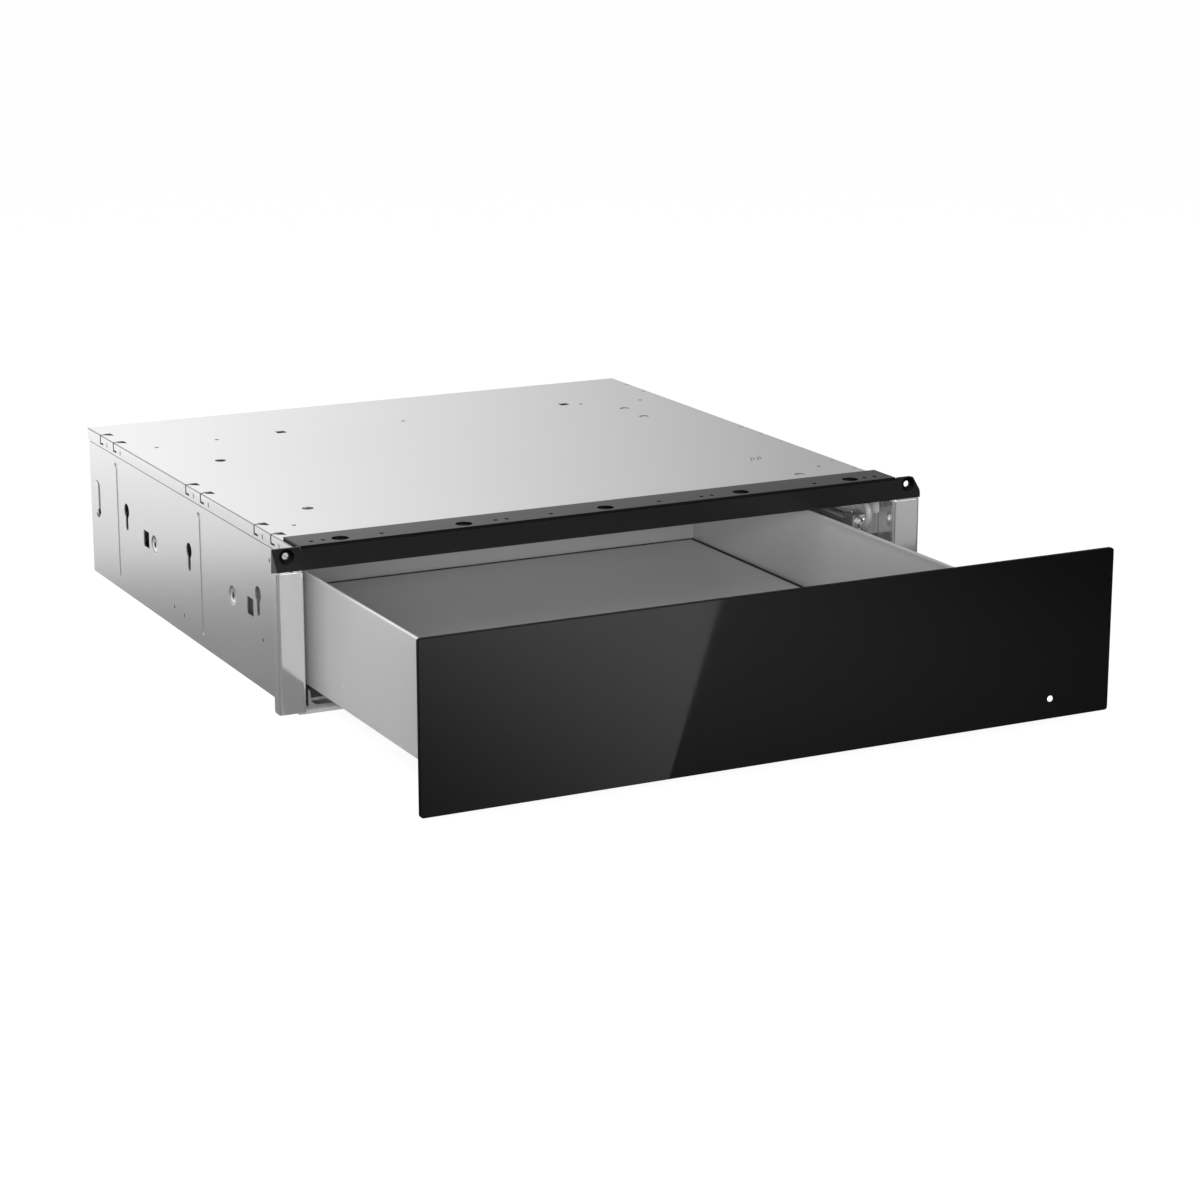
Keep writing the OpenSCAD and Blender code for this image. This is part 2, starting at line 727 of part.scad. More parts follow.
// A rivet or screw that stands up from low_z, with its head from seat_z up
module pin_with_head(low_z, seat_z, d, head_d, head_h) {
    rod_z(0, 0, low_z, seat_z + head_h, d);
    rod_z(0, 0, seat_z, seat_z + head_h, head_d);
}

module for_foot_rivets() {
    for (side = [LEFT, RIGHT], share = foot_rivet_shares)
        translate([side * (inner_x - foot_w / 2), front_y + share * case_d, 0]) children();
}

module case_rivets() {
    color([0.70, 0.71, 0.72]) {
        for (p = cover_rivet_shares) translate([p[0] * case_w, back_y(p[1]), 0]) {
            shank_d = cover_rivet_hole_d - 2 * hole_clear;
            pin_with_head(cover_low_z - rivet_head_h, case_h, shank_d, rivet_head_d, rivet_head_h);
            rod_z(0, 0, cover_low_z - rivet_head_h, cover_low_z, rivet_head_d);
        }
        for_foot_rivets()
            pin_with_head(flush_gap, 2 * sheet_t, foot_rivet_d, foot_rivet_head_d, rivet_head_h);
    }
}

module for_case_screws() {
    for (share = case_screw_shares)
        translate([share * (terminal_left_x - case_screw_gap), 0, case_h - band_h / 2]) children();
}

module case_screws() {
    color([0.60, 0.61, 0.62]) for_case_screws() {
        rod_y(0, rear_panel_y - case_screw_l, rear_y + case_screw_head_h, 0, case_screw_d);
        rod_y(0, rear_y, rear_y + case_screw_head_h, 0, case_screw_head_d);
    }
}

// Rails

module for_rail_screws() {
    for (i = [0, 1], share = rail_tab_shares)
        translate([rail_xs[i] + (1 - 2 * i) * (rail_w + rail_tab_w) / 2, rail_front_y + share * rail_l, 0])
            children();
}

module for_rail_rivets() {
    for (x = rail_xs, share = rail_rivet_shares) translate([x, rail_front_y + share * rail_l, 0]) children();
}

// A pair of upright rail flanges about x = 0, between half widths in_x and out_x
module rail_flanges(in_x, out_x, low_z, top_z) {
    for (side = [LEFT, RIGHT]) on_side(side)
        block([in_x, rail_front_y, low_z], [out_x, rail_front_y + rail_l, top_z]);
}

module rail_web(half_w, low_z) {
    block([-half_w, rail_front_y, low_z], [half_w, rail_front_y + rail_l, low_z + rail_t]);
}

module rail_outer(i) {
    color([0.74, 0.75, 0.76]) difference() {
        union() {
            translate([rail_xs[i], 0, 0]) {
                rail_web(rail_w / 2, rail_low_z);
                rail_flanges(outer_in_x, rail_w / 2, rail_low_z, outer_top_z);
                rail_flanges(outer_in_x - rail_lip, rail_w / 2, outer_top_z - rail_t, outer_top_z);
                for (share = rail_tab_shares) {
                    y = rail_front_y + share * rail_l;
                    on_side(1 - 2 * i) block([rail_w / 2 - rail_t, y - rail_tab_l / 2, rail_low_z],
                        [rail_w / 2 + rail_tab_w, y + rail_tab_l / 2, outer_web_z]);
                }
            }
        }
        for_rail_screws() rod_z(0, 0, 0, outer_web_z + over, rail_screw_d + 2 * hole_clear);
    }
}

module rail_middle(i) {
    color([0.70, 0.71, 0.72]) pulled_out(MIDDLE_SHARE) translate([rail_xs[i], 0, 0]) {
        rail_web(middle_out_x, middle_low_z);
        rail_flanges(middle_in_x, middle_out_x, middle_low_z, middle_top_z);
        rail_flanges(middle_in_x - rail_lip, middle_out_x, middle_top_z - rail_t, middle_top_z);
    }
}

module rail_inner(i) {
    color([0.76, 0.77, 0.78]) pulled_out() difference() {
        translate([rail_xs[i], 0, 0]) {
            rail_web(rail_w / 2 - rail_t, inner_web_z);
            rail_flanges(inner_in_x, inner_out_x, inner_low_z, drawer_low_z);
        }
        for_rail_rivets() rod_z(0, 0, inner_web_z - over, drawer_low_z + over, rail_rivet_d + 2 * hole_clear);
    }
}

// A ball cage about x = 0, with its balls at half width ball_x
module ball_cage(ball_x, low_z, ball_z) {
    y0 = rail_mid_y - cage_l / 2;
    top_z = ball_z + ball_d / 2 + cage_over_ball / 2;
    out_x = ball_x + cage_t / 2;
    pitch = cage_l / ball_count;
    color([0.55, 0.56, 0.58]) difference() {
        union() {
            block([-out_x, y0, low_z], [out_x, y0 + cage_l, low_z + cage_t]);
            for (side = [LEFT, RIGHT]) on_side(side)
                block([ball_x - cage_t / 2, y0, low_z], [out_x, y0 + cage_l, top_z]);
        }
        for (k = [0 : ball_count - 1])
            rod_x(-out_x - over, out_x + over, y0 + (k + 0.5) * pitch, ball_z, ball_d + 2 * ball_clear);
    }
    color([0.85, 0.86, 0.87]) for (side = [LEFT, RIGHT], k = [0 : ball_count - 1])
        translate([side * ball_x, y0 + (k + 0.5) * pitch, ball_z]) sphere(d = ball_d, $fn = SMOOTH);
}

module cage_outer(i) {
    pulled_out(CAGE_OUTER_SHARE) translate([rail_xs[i], 0, 0])
        ball_cage((outer_in_x + middle_out_x) / 2, outer_cage_z, outer_ball_z);
}

module cage_inner(i) {
    pulled_out(CAGE_INNER_SHARE) translate([rail_xs[i], 0, 0])
        ball_cage((middle_in_x + inner_out_x) / 2, inner_cage_z, inner_ball_z);
}

module rail_screws() {
    color([0.60, 0.61, 0.62]) for_rail_screws()
        pin_with_head(flush_gap, outer_web_z, rail_screw_d, rail_screw_head_d, rail_screw_head_h);
}

module rail_rivets() {
    color([0.68, 0.69, 0.70]) pulled_out() for_rail_rivets() {
        rod_z(0, 0, inner_web_z - rail_rivet_head_h, pan_top_z, rail_rivet_d);
        rod_z(0, 0, inner_web_z - rail_rivet_head_h, inner_web_z, rail_rivet_head_d);
    }
}

// Supply

module terminal_block() {
    low_z = terminal_top_z - terminal_t - part_gap - terminal_block_h;
    pitch = (terminal_w - 2 * terminal_block_inset) / terminal_ways;
    color([0.90, 0.89, 0.84]) difference() {
        block([terminal_left_x + terminal_block_inset, rear_panel_y - terminal_block_l, low_z],
              [terminal_right_x - terminal_block_inset, rear_panel_y, low_z + terminal_block_h]);
        for (k = [0 : terminal_ways - 1])
            rod_z(terminal_left_x + terminal_block_inset + (k + 0.5) * pitch, rear_panel_y - terminal_block_l / 2,
                  low_z + terminal_block_h / 2, low_z + terminal_block_h + over, terminal_hole_d);
    }
}

module terminal_cover() {
    color([0.20, 0.20, 0.21]) difference() {
        block([terminal_left_x, terminal_front_y, terminal_low_z], [terminal_right_x, rear_panel_y, terminal_top_z]);
        block([terminal_left_x + terminal_t, terminal_front_y + terminal_t, terminal_low_z + terminal_t],
              [terminal_right_x - terminal_t, rear_panel_y + over, terminal_top_z - terminal_t]);
        rod_y(conduit_x, terminal_front_y - over, terminal_front_y + terminal_t + over, lead_z,
              lead_d + 2 * hole_clear);
    }
}

module cable_gland() {
    color([0.12, 0.12, 0.13]) difference() {
        union() {
            rod_y(gland_x, rear_panel_y - gland_in, rear_y, gland_z, gland_d);
            rod_y(gland_x, rear_panel_y + sheet_t, rear_y + gland_flange_out, gland_z, gland_flange_d);
            rod_y(gland_x, rear_panel_y - gland_nut_t, rear_panel_y, gland_z, gland_nut_d);
        }
        rod_y(gland_x, rear_panel_y - gland_in - over, rear_y + gland_flange_out + over, gland_z, gland_bore_d);
    }
}

// A half ring in Y and Z about (x, y, z), bulging to the front (-1) or to the rear (1)
module half_ring(x, y, z, r, d, way) {
    translate([x, y, z]) rotate([0, 90, 0]) rotate([0, 0, way > 0 ? 0 : 180])
        rotate_extrude(angle = 180, $fn = SMOOTH) translate([r, 0]) circle(d = d, $fn = SMOOTH);
}

module supply_lead() {
    block_y = rear_panel_y - terminal_block_l;
    color([0.14, 0.14, 0.15]) {
        rod_y(conduit_x, clip_front_y, block_y, lead_z, lead_d);
        half_ring(conduit_x, clip_front_y, lead_z - lead_bend_r, lead_bend_r, lead_d, -1);
        rod_y(conduit_x, clip_front_y, conduit_end_y, conduit_top_z, lead_d);
    }
}

module conduit_run(d) {
    rod_y(conduit_x, clip_front_y, conduit_bend_y, conduit_top_z, d);
    half_ring(conduit_x, conduit_bend_y, conduit_top_z - conduit_r, conduit_r, d, 1);
    rod_y(conduit_x, housing_back_y - drawer_open, conduit_bend_y, conduit_low_z, d);
}

module supply_conduit() {
    color([0.80, 0.81, 0.82]) difference() {
        conduit_run(conduit_d);
        conduit_run(conduit_d - 2 * conduit_wall);
        rod_y(conduit_x, clip_front_y - over, clip_front_y + over, conduit_top_z, conduit_d - 2 * conduit_wall);
        rod_y(conduit_x, housing_back_y - drawer_open - over, housing_back_y - drawer_open + over, conduit_low_z,
              conduit_d - 2 * conduit_wall);
    }
}

module conduit_clip() {
    half = conduit_d / 2 + clip_ring_t;
    color([0.86, 0.87, 0.88]) difference() {
        union() {
            block([conduit_x - half, clip_front_y, conduit_top_z - half],
                  [inner_x, conduit_end_y, conduit_top_z + half]);
            block([inner_x - clip_plate_t, clip_front_y, conduit_top_z - clip_plate_h],
                  [inner_x, conduit_end_y, conduit_top_z + half]);
        }
        rod_y(conduit_x, clip_front_y - over, conduit_end_y + over, conduit_top_z, conduit_d + 2 * hole_clear);
    }
}

// Latch

module latch_body() {
    color([0.25, 0.25, 0.27]) difference() {
        block([latch_x - latch_w / 2, latch_front_y, sheet_t], [latch_x + latch_w / 2, rear_panel_y, latch_h]);
        rod_y(latch_x, latch_front_y - over, latch_bore_end_y, latch_z, plunger_d + 2 * run_clear);
    }
}

module latch_plunger() {
    color([0.85, 0.85, 0.86]) rod_y(latch_x, plunger_tip_y, plunger_end_y, latch_z, plunger_d);
}

// Rings of a wire wound round the Y axis from y0 to y1, each ring a list of points
function coil_ring(t, y0, y1, r, wire_r, turns) =
    let (turn = 360 * turns * t, y = y0 + wire_r + (y1 - y0 - 2 * wire_r) * t)
    [for (s = [0 : spring_sides - 1]) let (a = 360 * s / spring_sides, d = r + wire_r * cos(a))
        [d * cos(turn), y + wire_r * sin(a), d * sin(turn)]];

module coil(y0, y1, r, wire_r, turns) {
    steps = turns * spring_rings;
    points = [for (i = [0 : steps]) each coil_ring(i / steps, y0, y1, r, wire_r, turns)];
    last = steps * spring_sides;
    walls = [for (i = [0 : steps - 1], s = [0 : spring_sides - 1])
        let (a = i * spring_sides + s, b = i * spring_sides + (s + 1) % spring_sides)
        each [[a, b, b + spring_sides], [a, b + spring_sides, a + spring_sides]]];
    caps = [[for (s = [spring_sides - 1 : -1 : 0]) s], [for (s = [0 : spring_sides - 1]) last + s]];
    polyhedron(points = points, faces = concat(walls, caps));
}

module latch_spring() {
    color([0.72, 0.73, 0.74]) translate([latch_x, 0, latch_z])
        coil(plunger_end_y, latch_bore_end_y, spring_r, spring_wire_d / 2, spring_turns);
}

// Drawer box, drawn shut

module ledge(lo_x, hi_x, lo_y, hi_y) {
    block([lo_x, lo_y, plate_low_z - wall_t], [hi_x, hi_y, plate_low_z]);
}

module rim(lo_x, hi_x, lo_y, hi_y) {
    block([lo_x, lo_y, drawer_top_z - wall_t], [hi_x, hi_y, drawer_top_z]);
}

module drawer_side_left() {
    color([0.76, 0.76, 0.77]) pulled_out() {
        block([drawer_left_x, front_in_y, drawer_low_z], [box_left_x, drawer_back_y, drawer_top_z]);
        rim(drawer_left_x, drawer_left_x + rim_w, front_in_y, drawer_back_y);
        ledge(box_left_x, box_left_x + ledge_w, box_front_y, box_back_y);
    }
}

module for_heater_leads() {
    for (k = [0, 1]) translate([0, heater_first_y + k * lead_step, heater_z]) children();
}

module drawer_side_right() {
    color([0.76, 0.76, 0.77]) pulled_out() difference() {
        union() {
            block([box_right_x, front_in_y, drawer_low_z], [drawer_right_x, drawer_back_y, drawer_top_z]);
            rim(drawer_right_x - rim_w, drawer_right_x, front_in_y, drawer_back_y);
            ledge(box_right_x - ledge_w, box_right_x, box_front_y, box_back_y);
        }
        for_heater_leads() rod_x(box_right_x - over, drawer_right_x + over, 0, 0, heater_lead_d + 2 * hole_clear);
    }
}

module drawer_back() {
    color([0.74, 0.74, 0.75]) pulled_out() {
        block([box_left_x, box_back_y, drawer_low_z], [box_right_x, drawer_back_y, drawer_top_z - wall_t]);
        rim(drawer_left_x + rim_w, drawer_right_x - rim_w, drawer_back_y - rim_w, drawer_back_y);
        ledge(box_left_x + ledge_w, box_right_x - ledge_w, box_back_y - ledge_w, box_back_y);
        block([latch_x - striker_w / 2, drawer_back_y, latch_z - striker_h / 2],
              [latch_x + striker_w / 2, drawer_back_y + striker_t, latch_z + striker_h / 2]);
    }
}

module for_front_screws() {
    low_z = plate_top_z + front_screw_margin;
    high_z = drawer_top_z - front_screw_margin;
    for (share = front_screw_shares, z = [low_z, high_z])
        translate([box_left_x + share * (box_right_x - box_left_x), 0, z]) children();
}

module drawer_front_wall() {
    color([0.74, 0.74, 0.75]) pulled_out() difference() {
        union() {
            block([box_left_x, front_in_y, drawer_low_z], [box_right_x, box_front_y, drawer_top_z - wall_t]);
            rim(drawer_left_x + rim_w, drawer_right_x - rim_w, front_in_y, front_in_y + rim_w);
            ledge(box_left_x + ledge_w, box_right_x - ledge_w, box_front_y, box_front_y + ledge_w);
        }
        for_front_screws() rod_y(0, front_in_y - over, box_front_y + over, 0, front_screw_d + 2 * hole_clear);
    }
}

module drawer_bottom() {
    color([0.72, 0.72, 0.73]) pulled_out() difference() {
        block([box_left_x, box_front_y, drawer_low_z], [box_right_x, box_back_y, pan_top_z]);
        for_rail_rivets() rod_z(0, 0, drawer_low_z - over, pan_top_z + over, rail_rivet_d + 2 * hole_clear);
    }
}

module warming_plate() {
    color([0.60, 0.60, 0.61]) pulled_out()
        block([box_left_x + seal_w, box_front_y + seal_w, plate_low_z],
              [box_right_x - seal_w, box_back_y - seal_w, plate_top_z]);
}

module plate_seal() {
    color([0.10, 0.10, 0.10]) pulled_out() difference() {
        block([box_left_x, box_front_y, plate_low_z], [box_right_x, box_back_y, plate_top_z - seal_drop]);
        block([box_left_x + seal_w, box_front_y + seal_w, plate_low_z - over],
              [box_right_x - seal_w, box_back_y - seal_w, plate_top_z]);
    }
}

// Heater under the warming plate, drawn shut

module heater_bend(k, side) {
    x = side < 0 ? heater_left_x : heater_right_x;
    translate([x, heater_first_y + (k + 0.5) * heater_pitch, heater_z]) rotate([0, 0, side < 0 ? 90 : -90])
        rotate_extrude(angle = 180, $fn = SMOOTH) translate([heater_pitch / 2, 0])
            circle(d = heater_d, $fn = SMOOTH);
}

module heating_element() {
    last = heater_passes - 1;
    color([0.45, 0.45, 0.46]) pulled_out() {
        for (k = [0 : last]) {
            end_x = k == 0 || k == last ? heater_end_x : heater_right_x;
            rod_x(heater_left_x, end_x, heater_first_y + k * heater_pitch, heater_z, heater_d);
        }
        for (k = [0 : last - 1]) heater_bend(k, k % 2 == 0 ? LEFT : RIGHT);
    }
}

// A strap that holds a rod along X, of diameter d, up against the warming plate
module plate_strap(x, y, d) {
    in_y = d / 2 + hole_clear;
    low_z = plate_low_z - d - 2 * hole_clear;
    block([x - clip_w / 2, y - in_y - clip_t, low_z - clip_t], [x + clip_w / 2, y + in_y + clip_t, low_z]);
    for (side = [LEFT, RIGHT]) {
        y0 = side < 0 ? y - in_y - clip_t : y + in_y;
        block([x - clip_w / 2, y0, low_z - clip_t], [x + clip_w / 2, y0 + clip_t, plate_low_z]);
    }
}

module heater_clips() {
    color([0.66, 0.67, 0.68]) pulled_out() for (k = [0 : heater_passes - 1], share = clip_x_shares)
        plate_strap(heater_left_x + share * (heater_right_x - heater_left_x), heater_first_y + k * heater_pitch,
                    heater_d);
}

module heater_leads() {
    lead_x = heater_end_x + heater_lead_d / 2;
    last_y = heater_first_y + (heater_passes - 1) * heater_pitch;
    color([0.55, 0.20, 0.16]) pulled_out() {
        rod_x(heater_end_x, housing_left_x + housing_t, heater_first_y, heater_z, heater_lead_d);
        rod_x(lead_x, housing_left_x + housing_t, heater_first_y + lead_step, heater_z, heater_lead_d);
        rod_y(lead_x, heater_first_y + lead_step, last_y, heater_z, heater_lead_d);
        for (y = [heater_first_y + lead_step, last_y])
            translate([lead_x, y, heater_z]) sphere(d = heater_lead_d, $fn = SMOOTH);
    }
}

module insulation_mat() {
    color([0.86, 0.82, 0.62]) pulled_out()
        block([box_left_x + mat_gap, box_front_y + mat_gap, pan_top_z],
              [box_right_x - mat_gap, box_back_y - mat_gap, mat_top_z]);
}

module temperature_sensor() {
    x = drawer_mid_x - sensor_l;
    color([0.70, 0.52, 0.30]) pulled_out() {
        rod_x(x - sensor_l / 2, x + sensor_l / 2, under_mid_y, plate_low_z - sensor_d / 2 - hole_clear, sensor_d);
        plate_strap(x, under_mid_y, sensor_d - 2 * hole_clear);
    }
}

module thermal_cutout() {
    color([0.18, 0.18, 0.19]) pulled_out() translate([drawer_mid_x + sensor_l, under_mid_y, 0]) {
        rod_z(0, 0, plate_low_z - cutout_h, plate_low_z, cutout_d);
        block([-cutout_d, -cutout_ear_w / 2, plate_low_z - clip_t], [cutout_d, cutout_ear_w / 2, plate_low_z]);
    }
}

// Front, drawn shut

module front_glass() {
    color([0.03, 0.03, 0.035]) pulled_out() difference() {
        rounded_front(glass_x, glass_low_z, glass_top_z, glass_front_y, bond_front_y, glass_r);
        rod_y(light_x, glass_front_y - over, bond_front_y + over, light_z, light_d + 2 * light_clear);
    }
}

module glass_bond() {
    color([0.07, 0.07, 0.07]) pulled_out() difference() {
        block([-frame_x, bond_front_y, frame_low_z], [frame_x, frame_front_y, frame_top_z]);
        block([-frame_x + bond_w, bond_front_y - over, frame_low_z + bond_w],
              [frame_x - bond_w, frame_front_y + over, frame_top_z - bond_w]);
    }
}

module front_frame() {
    rear = front_in_y - frame_t;
    color([0.70, 0.71, 0.72]) pulled_out() difference() {
        block([-frame_x, frame_front_y, frame_low_z], [frame_x, rear, frame_top_z]);
        block([-frame_x + frame_t, frame_front_y + frame_t, frame_low_z + frame_t],
              [frame_x - frame_t, rear + over, frame_top_z - frame_t]);
        rod_y(light_x, frame_front_y - over, frame_front_y + frame_t + over, light_z, light_d + 2 * light_clear);
    }
}

module front_back_panel() {
    color([0.72, 0.73, 0.74]) pulled_out() difference() {
        block([-frame_x, front_in_y - frame_t, frame_low_z], [frame_x, front_in_y, frame_top_z]);
        for_front_screws() rod_y(0, front_in_y - frame_t - over, front_in_y + over, 0, front_screw_d + 2 * hole_clear);
    }
}

module front_screws() {
    color([0.62, 0.63, 0.64]) pulled_out() for_front_screws() {
        rod_y(0, front_in_y - front_screw_l, box_front_y + front_screw_head_h, 0, front_screw_d);
        rod_y(0, box_front_y, box_front_y + front_screw_head_h, 0, front_screw_head_d);
    }
}

module front_buffers() {
    color([0.12, 0.12, 0.12]) pulled_out() for (side = [LEFT, RIGHT], z = [frame_low_z, frame_top_z]) {
        way = z == frame_low_z ? 1 : -1;
        rod_y(side * (frame_x - buffer_inset), front_in_y, front_in_y + buffer_t, z + way * buffer_rise, buffer_d);
    }
}

module status_lens() {
    color([0.95, 0.95, 0.95]) pulled_out()
        rod_y(light_x, glass_front_y - light_proud, frame_front_y + frame_t + board_gap, light_z, light_d);
}

module status_board() {
    y0 = frame_front_y + frame_t;
    color([0.10, 0.36, 0.20]) pulled_out() {
        block([light_x - status_board_w / 2, y0 + board_gap, light_z - status_board_h / 2],
              [light_x + status_board_w / 2, y0 + board_gap + board_t, light_z + status_board_h / 2]);
        for (side = [LEFT, RIGHT])
            rod_y(light_x + side * (status_board_w / 2 - standoff_d), y0, y0 + board_gap + board_t / 2, light_z,
                  standoff_d);
    }
}

// Controls, drawn shut

module control_housing() {
    color([0.16, 0.16, 0.17]) pulled_out() difference() {
        union() {
            block([housing_left_x, front_in_y, housing_low_z], [housing_right_x, housing_back_y, housing_lid_z]);
            rod_y(conduit_x, housing_back_y - housing_t, housing_back_y + boss_l, conduit_low_z, boss_d);
        }
        block([housing_left_x + housing_t, front_in_y + housing_t, housing_low_z + housing_t],
              [housing_right_x - housing_t, housing_back_y - housing_t, housing_lid_z + over]);
        rod_y(conduit_x, housing_back_y, housing_back_y + boss_l + over, conduit_low_z, conduit_d + 2 * hole_clear);
        rod_y(conduit_x, housing_back_y - housing_t - over, housing_back_y + over, conduit_low_z, lead_d);
        for_heater_leads()
            rod_x(housing_left_x - over, housing_left_x + housing_t + over, 0, 0, heater_lead_d + 2 * hole_clear);
    }
    color([0.16, 0.16, 0.17]) pulled_out() for (x = circuit_post_xs, y = circuit_post_ys)
        rod_z(x, y, housing_low_z + housing_t, circuit_low_z, circuit_post_d);
}

module control_cover() {
    color([0.18, 0.18, 0.19]) pulled_out() difference() {
        block([housing_left_x, front_in_y, housing_lid_z], [housing_right_x, housing_back_y, housing_top_z]);
        rod_z(knob_x, knob_y, housing_lid_z - over, housing_top_z + over, shaft_d + 2 * shaft_clear);
        block([rocker_x - rocker_frame_w / 2, rocker_y - rocker_frame_l / 2, housing_lid_z - over],
              [rocker_x + rocker_frame_w / 2, rocker_y + rocker_frame_l / 2, housing_top_z + over]);
    }
}

module control_board() {
    x0 = housing_left_x + housing_t + circuit_margin;
    x1 = housing_right_x - housing_t - circuit_margin;
    y0 = front_in_y + housing_t + circuit_margin;
    y1 = housing_back_y - housing_t - circuit_margin;
    color([0.12, 0.38, 0.22]) pulled_out() {
        block([x0, y0, circuit_low_z], [x1, y1, circuit_low_z + board_t]);
        for (k = [0 : len(circuit_part_sizes) - 1]) {
            share = circuit_part_shares[k];
            size = circuit_part_sizes[k];
            translate([x0 + share[0] * (x1 - x0) - size[0] / 2, y0 + share[1] * (y1 - y0) - size[1] / 2,
                       circuit_low_z + board_t / 2]) cube(size);
        }
    }
}

module selector_switch() {
    color([0.24, 0.24, 0.26]) pulled_out() difference() {
        block([knob_x - switch_side / 2, knob_y - switch_side / 2, housing_lid_z - switch_h],
              [knob_x + switch_side / 2, knob_y + switch_side / 2, housing_lid_z]);
        rod_z(knob_x, knob_y, housing_lid_z - switch_h / 2, housing_lid_z + over, shaft_d + 2 * run_clear);
    }
}

module selector_shaft() {
    top_z = housing_top_z + knob_gap + knob_bore_l;
    color([0.78, 0.78, 0.79]) pulled_out()
        rod_z(knob_x, knob_y, housing_lid_z - switch_h / 2 + part_gap, top_z, shaft_d);
}

module selector_knob() {
    low_z = housing_top_z + knob_gap;
    color([0.13, 0.13, 0.14]) pulled_out() difference() {
        union() {
            rod_z(knob_x, knob_y, low_z, low_z + knob_h - knob_rib_h, knob_d);
            block([knob_x - knob_rib_w / 2, knob_y - knob_d / 2 + knob_rib_w / 2, low_z],
                  [knob_x + knob_rib_w / 2, knob_y + knob_d / 2 - knob_rib_w / 2, low_z + knob_h]);
        }
        rod_z(knob_x, knob_y, low_z - over, low_z + knob_bore_l, shaft_d);
    }
}

module rocker_frame() {
    w = rocker_frame_w / 2;
    l = rocker_frame_l / 2;
    low_z = housing_top_z - rocker_frame_h;
    color([0.14, 0.14, 0.15]) pulled_out() translate([rocker_x, rocker_y, 0]) difference() {
        union() {
            block([-w, -l, low_z], [w, l, housing_top_z]);
            block([-w - rocker_flange, -l - rocker_flange, housing_top_z],
                  [w + rocker_flange, l + rocker_flange, housing_top_z + rocker_flange]);
        }
        block([-w + rocker_wall, -l + rocker_wall, low_z + rocker_wall],
              [w - rocker_wall, l - rocker_wall, housing_top_z + rocker_flange + over]);
        rod_x(-w - rocker_flange - over, w + rocker_flange + over, 0, rocker_pivot_z,
              rocker_pin_d + 2 * run_clear);
    }
}

// Side view of the rocker in Y and Z about its pivot: a drum cut flat below and to a shallow V on top
module rocker_profile() {
    intersection() {
        circle(r = rocker_r, $fn = SMOOTH);
        polygon([[-rocker_r, -rocker_low], [rocker_r, -rocker_low], [rocker_r, rocker_high],
                 [0, rocker_tip], [-rocker_r, rocker_tip]]);
    }
}

module rocker_key() {
    pin_l = rocker_frame_w - rocker_wall / 2;
    color([0.11, 0.11, 0.12]) pulled_out() translate([rocker_x, rocker_y, rocker_pivot_z]) {
        translate([-rocker_w / 2, 0, 0]) rotate([90, 0, 90]) linear_extrude(rocker_w) rocker_profile();
        rod_x(-pin_l / 2, pin_l / 2, 0, 0, rocker_pin_d);
    }
}

base_plate();
on_side(LEFT) side_panel();  // side_panel_left
side_panel();  // side_panel_right
top_cover();
rear_panel();
on_side(LEFT) front_post();  // front_post_left
front_post();  // front_post_right
top_strip();
case_rivets();
case_screws();
rail_outer(0);  // rail_outer_left
rail_outer(1);  // rail_outer_right
rail_screws();
terminal_block();
terminal_cover();
cable_gland();
supply_lead();
conduit_clip();
supply_conduit();
latch_body();
latch_spring();
latch_plunger();
rail_middle(0);  // rail_middle_left
rail_middle(1);  // rail_middle_right
cage_outer(0);  // cage_outer_left
cage_outer(1);  // cage_outer_right
cage_inner(0);  // cage_inner_left
cage_inner(1);  // cage_inner_right
rail_inner(0);  // rail_inner_left
rail_inner(1);  // rail_inner_right
rail_rivets();
drawer_side_left();
drawer_side_right();
drawer_back();
drawer_front_wall();
drawer_bottom();
warming_plate();
plate_seal();
heating_element();
heater_clips();
heater_leads();
insulation_mat();
temperature_sensor();
thermal_cutout();
front_glass();
glass_bond();
front_frame();
front_back_panel();
front_screws();
front_buffers();
status_lens();
status_board();
control_housing();
control_cover();
control_board();
selector_switch();
selector_shaft();
selector_knob();
rocker_frame();
rocker_key();
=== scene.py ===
import bpy
import json
import math
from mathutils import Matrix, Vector
from mathutils.geometry import delaunay_2d_cdt


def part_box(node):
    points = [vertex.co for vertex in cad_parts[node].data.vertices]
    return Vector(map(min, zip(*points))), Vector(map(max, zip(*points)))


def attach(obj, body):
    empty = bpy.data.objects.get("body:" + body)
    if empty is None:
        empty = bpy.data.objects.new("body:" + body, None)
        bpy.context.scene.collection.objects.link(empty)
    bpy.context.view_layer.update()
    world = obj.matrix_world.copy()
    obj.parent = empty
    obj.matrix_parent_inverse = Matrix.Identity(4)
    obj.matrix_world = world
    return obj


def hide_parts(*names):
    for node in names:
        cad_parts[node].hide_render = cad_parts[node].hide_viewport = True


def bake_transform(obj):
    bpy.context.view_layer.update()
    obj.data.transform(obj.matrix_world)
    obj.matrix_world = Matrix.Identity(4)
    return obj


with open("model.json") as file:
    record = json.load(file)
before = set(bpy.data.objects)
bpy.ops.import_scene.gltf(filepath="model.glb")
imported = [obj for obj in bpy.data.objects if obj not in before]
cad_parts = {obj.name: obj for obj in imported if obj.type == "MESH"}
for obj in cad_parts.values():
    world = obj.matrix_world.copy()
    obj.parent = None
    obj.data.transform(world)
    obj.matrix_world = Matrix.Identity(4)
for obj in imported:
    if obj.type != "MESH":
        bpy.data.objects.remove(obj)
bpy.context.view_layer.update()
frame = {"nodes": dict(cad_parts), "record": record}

NODES = frame["nodes"]
MM = 0.001
LEFT, RIGHT = -1, 1
scene = bpy.context.scene

# Camera: place, heading and tilt in degrees, lens in millimetres
CAMERA_PLACE = (-1.1239, -2.4614, 0.7158)
CAMERA_HEADING = 26.9
CAMERA_TILT = 14.806
CAMERA_LENS = 92.441
CAMERA_SENSOR = 36.0

